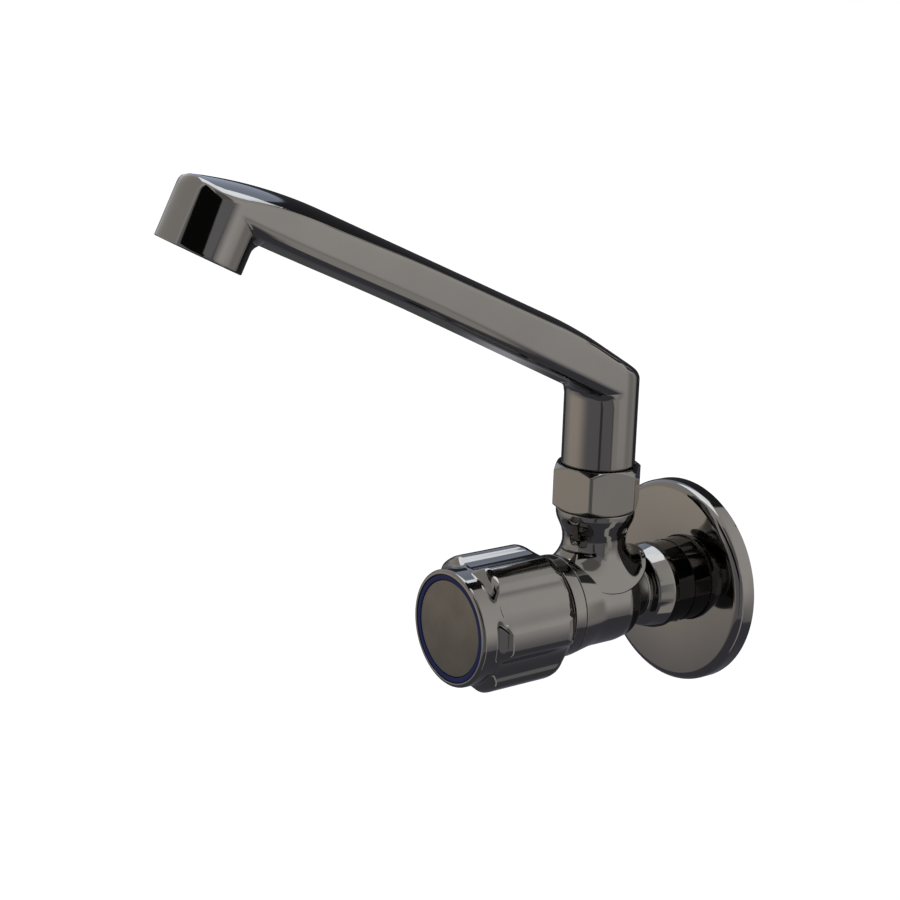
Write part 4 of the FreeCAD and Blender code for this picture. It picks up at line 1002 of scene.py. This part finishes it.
class TAP_OT_stage(Operator):
    """Make the camera, the pale floor and surroundings, the soft lamp and the reflection cards"""
    bl_idname = "tap.stage"
    bl_label = "Stage"

    aim = Vector((0.0, -0.09, 0.06))
    card_steps = 24
    # Each card: distance, strength, tone, share of its width and height over which it fades, and the
    # (turn, height) angles of its four corners in degrees. Turns run from the way out towards +X.
    cards = {
        "Table card": (1.36, 0.165, (0.87, 0.9, 1.1), (0.0, 0.02), span(-240, 120, -90, -30)),
        "Ring card": (1.35, 0.4, (0.93, 0.93, 1.0), (0.0, 0.03), span(-240, 120, -32, 12)),
        "Left glow": (1.30, 1.12, (1.0, 0.92, 0.83), (0.42, 0.4), span(-92, 18, -32, 14)),
        "Left card": (1.32, 0.8, (1.0, 0.985, 0.96), (0.08, 0.06), span(-96, 2, 2, 64)),
        "Right glow": (1.30, 1.25, (1.0, 0.99, 0.99), (0.26, 0.34), span(88, 182, -34, 62)),
        "Right card": (1.33, 0.48, (0.92, 0.93, 1.0), (0.05, 0.05), span(0, 94, 4, 34)),
        "Right upper card": (1.32, 0.34, (1.0, 0.99, 0.97), (0.05, 0.05), span(50, 96, 20, 62)),
        "Low light card": (1.28, 0.92, (1.0, 0.97, 0.95), (0.2, 0.1), span(102, 124, -68, -20)),
        "Blue rear card": (1.31, 0.8, (0.78, 0.9, 1.15), (0.06, 0.03),
                           ((190, 57.5), (258, 0.5), (258, 62), (190, 78))),
        "Dark crest card": (1.315, 0.05, (0.95, 0.97, 1.1), (0.03, 0.06),
                            ((184, 6), (258, -6), (258, 10), (184, 62))),
        "Dark left card": (1.24, 0.07, (0.95, 0.97, 1.0), (0.1, 0.08), span(234, 272, -32, 2)),
        "Dark rear card": (1.25, 0.05, (0.95, 0.97, 1.1), (0.06, 0.04),
                           ((176, -31), (236, -31), (235, 17), (188, 44))),
        "Dark side card": (1.26, 0.09, (0.95, 0.97, 1.0), (0.06, 0.06),
                           ((160, 8), (182, 4), (178, 40), (160, 38))),
        "Slanted dark card": (1.20, 0.012, (1.0, 1.0, 1.0), (0.05, 0.04),
                              ((4, 33), (68, -2), (75, 10), (20, 64))),
        "Right shade card": (1.27, 0.66, (1.0, 0.98, 0.96), (0.38, 0.3), span(132, 176, -34, 8)),
        "Nut light card": (1.26, 0.84, (1.0, 0.985, 0.965), (0.22, 0.3), span(92, 112, -28, -4)),
        "Thin dark card": (1.20, 0.13, (1.0, 1.0, 1.0), (0.25, 0.1),
                           ((46, -30), (56, -30), (64, 2), (54, 2))),
        "Dark line card": (1.20, 0.3, (1.0, 1.0, 1.0), (0.3, 0.1), span(88, 94, -30, 8)),
    }

    def execute(self, context):
        s = context.scene.tap_stage
        self.camera(context.scene, s)
        self.surroundings(context.scene)
        self.floor(s)
        for name, (distance, strength, tone, soft, corners) in self.cards.items():
            self.card(name, distance, self.card_finish(name, strength, tone, soft), corners)
        self.lamp("Overhead softbox", (-135, 70), 0.9, 0.9, 7.6, (0.85, 0.92, 1.0))
        return {"FINISHED"}

    def direction(self, turn, height):
        turn, height = math.radians(turn), math.radians(height)
        return Vector((math.sin(turn) * math.cos(height), -math.cos(turn) * math.cos(height),
                       math.sin(height)))

    def card(self, name, distance, finish, corners):
        """A curved card round the tap that only reflections show."""
        points, places = [], []
        shares = np.linspace(0, 1, self.card_steps + 1)
        for v in shares:
            for u in shares:
                low = np.array(corners[0]) * (1 - u) + np.array(corners[1]) * u
                high = np.array(corners[3]) * (1 - u) + np.array(corners[2]) * u
                points.append(self.aim + self.direction(*(low * (1 - v) + high * v)) * distance)
                places.append((u, v))
        mesh = bpy.data.meshes.new(name)
        mesh.from_pydata(points, [], ring_faces(len(shares), len(shares), False, False))
        layer = mesh.uv_layers.new(name="Card")
        for loop in mesh.loops:
            layer.data[loop.index].uv = places[loop.vertex_index]
        mesh.materials.append(finish)
        made = link_object(name, mesh)
        for ray in ("camera", "diffuse", "shadow", "transmission"):
            setattr(made, "visible_" + ray, False)

    def card_finish(self, name, strength, tone, soft):
        """A plain glow that fades out towards the card's edges."""
        finish = new_material(name)
        tree = finish.node_tree
        tree.nodes.clear()
        place = add_node(tree, "ShaderNodeUVMap", uv_map="Card")
        split = add_node(tree, "ShaderNodeSeparateXYZ", {0: place})
        cover = 1.0
        for axis, share in zip(("X", "Y"), soft):
            centred = math_node(tree, "ABSOLUTE", math_node(tree, "SUBTRACT", split.outputs[axis], 0.5))
            fade = add_node(tree, "ShaderNodeMapRange", {
                "From Min": 0.5, "From Max": 0.499 - share, "Value": centred},
                interpolation_type="SMOOTHSTEP")
            cover = math_node(tree, "MULTIPLY", cover, fade)
        glow = add_node(tree, "ShaderNodeEmission", {"Color": (*tone, 1), "Strength": strength})
        clear = add_node(tree, "ShaderNodeBsdfTransparent")
        mix = add_node(tree, "ShaderNodeMixShader", {0: cover, 1: clear, 2: glow})
        add_node(tree, "ShaderNodeOutputMaterial", {"Surface": mix})
        return finish

    def camera(self, scene, s):
        data = bpy.data.cameras.new("Camera")
        data.lens = s.lens
        data.sensor_width = 36.0
        made = link_object("Camera", data)
        made.matrix_world = (Matrix.Translation(s.position) @ Matrix.Rotation(s.azimuth, 4, "Z")
                             @ Matrix.Rotation(math.pi / 2 - s.elevation, 4, "X")
                             @ Matrix.Rotation(s.roll, 4, "Z"))
        scene.camera = made
        scene.view_settings.view_transform = "Standard"

    def surroundings(self, scene):
        """A plain world: white to the camera and in reflections, and softer as light."""
        world = bpy.data.worlds.new("Studio")
        world.use_nodes = True
        tree = world.node_tree
        strength = math_node(tree, "ADD", 0.5, math_node(tree, "MULTIPLY", seen_rays(tree), 0.5))
        set_inputs(tree, tree.nodes["Background"], {"Strength": strength, "Color": (1, 1, 1, 1)})
        scene.world = world

    def floor(self, s):
        """A matt floor that looks as pale as the surroundings to the camera."""
        bpy.ops.mesh.primitive_plane_add(size=400.0, location=(0, 0, -s.floor_drop))
        floor = bpy.context.object
        floor.name = "Floor"
        finish = new_material("Floor")
        tree = finish.node_tree
        surface = tree.nodes["Principled BSDF"]
        set_inputs(tree, surface, {
            "Base Color": (*s.floor, 1), "Roughness": 0.9, "Specular IOR Level": 0.1})
        brightness = math_node(tree, "MULTIPLY", seen_rays(tree), 0.62)
        glow = add_node(tree, "ShaderNodeEmission", {"Strength": brightness})
        both = add_node(tree, "ShaderNodeAddShader", {0: surface, 1: glow})
        set_inputs(tree, tree.nodes["Material Output"], {"Surface": both})
        floor.data.materials.append(finish)

    def lamp(self, name, angles, width, height, power, tone):
        data = bpy.data.lights.new(name, "AREA")
        data.shape = "RECTANGLE"
        data.size = width
        data.size_y = height
        data.energy = power
        data.color = tone
        way = self.direction(*angles)
        made = link_object(name, data)
        made.matrix_world = (Matrix.Translation(self.aim + way * 1.1)
                             @ way.to_track_quat("Z", "Y").to_matrix().to_4x4())


class TAP_PT_panel(Panel):
    """The tap's pieces and sizes"""
    bl_label = "Wall tap"
    bl_idname = "TAP_PT_panel"
    bl_space_type = "VIEW_3D"
    bl_region_type = "UI"
    bl_category = "Wall tap"

    def draw(self, context):
        for operator in OPERATORS:
            self.layout.operator(operator.bl_idname)
        for name, group in SETTINGS.items():
            box = self.layout.box()
            box.label(text=group.__name__)
            for item in group.__annotations__:
                box.prop(getattr(context.scene, name), item)


SETTINGS = {
    "tap_spout": SpoutSizes,
    "tap_body": BodySizes,
    "tap_flange": FlangeSizes,
    "tap_knob": KnobSizes,
    "tap_nut": NutSizes,
    "tap_colours": FinishColours,
    "tap_stage": StageSettings,
}
OPERATORS = (TAP_OT_finishes, TAP_OT_spout, TAP_OT_body, TAP_OT_flange, TAP_OT_nut, TAP_OT_knob,
             TAP_OT_outlet, TAP_OT_stage)


def register():
    for item in (*SETTINGS.values(), *OPERATORS, TAP_PT_panel):
        bpy.utils.register_class(item)
    for name, group in SETTINGS.items():
        setattr(bpy.types.Scene, name, PointerProperty(type=group))


def unregister():
    for name in SETTINGS:
        delattr(bpy.types.Scene, name)
    for item in reversed((*SETTINGS.values(), *OPERATORS, TAP_PT_panel)):
        bpy.utils.unregister_class(item)


def main():
    register()
    for operator in (bpy.ops.tap.finishes, bpy.ops.tap.spout, bpy.ops.tap.body, bpy.ops.tap.flange,
                     bpy.ops.tap.nut, bpy.ops.tap.knob, bpy.ops.tap.outlet, bpy.ops.tap.stage):
        operator()


if __name__ == "__main__":
    main()
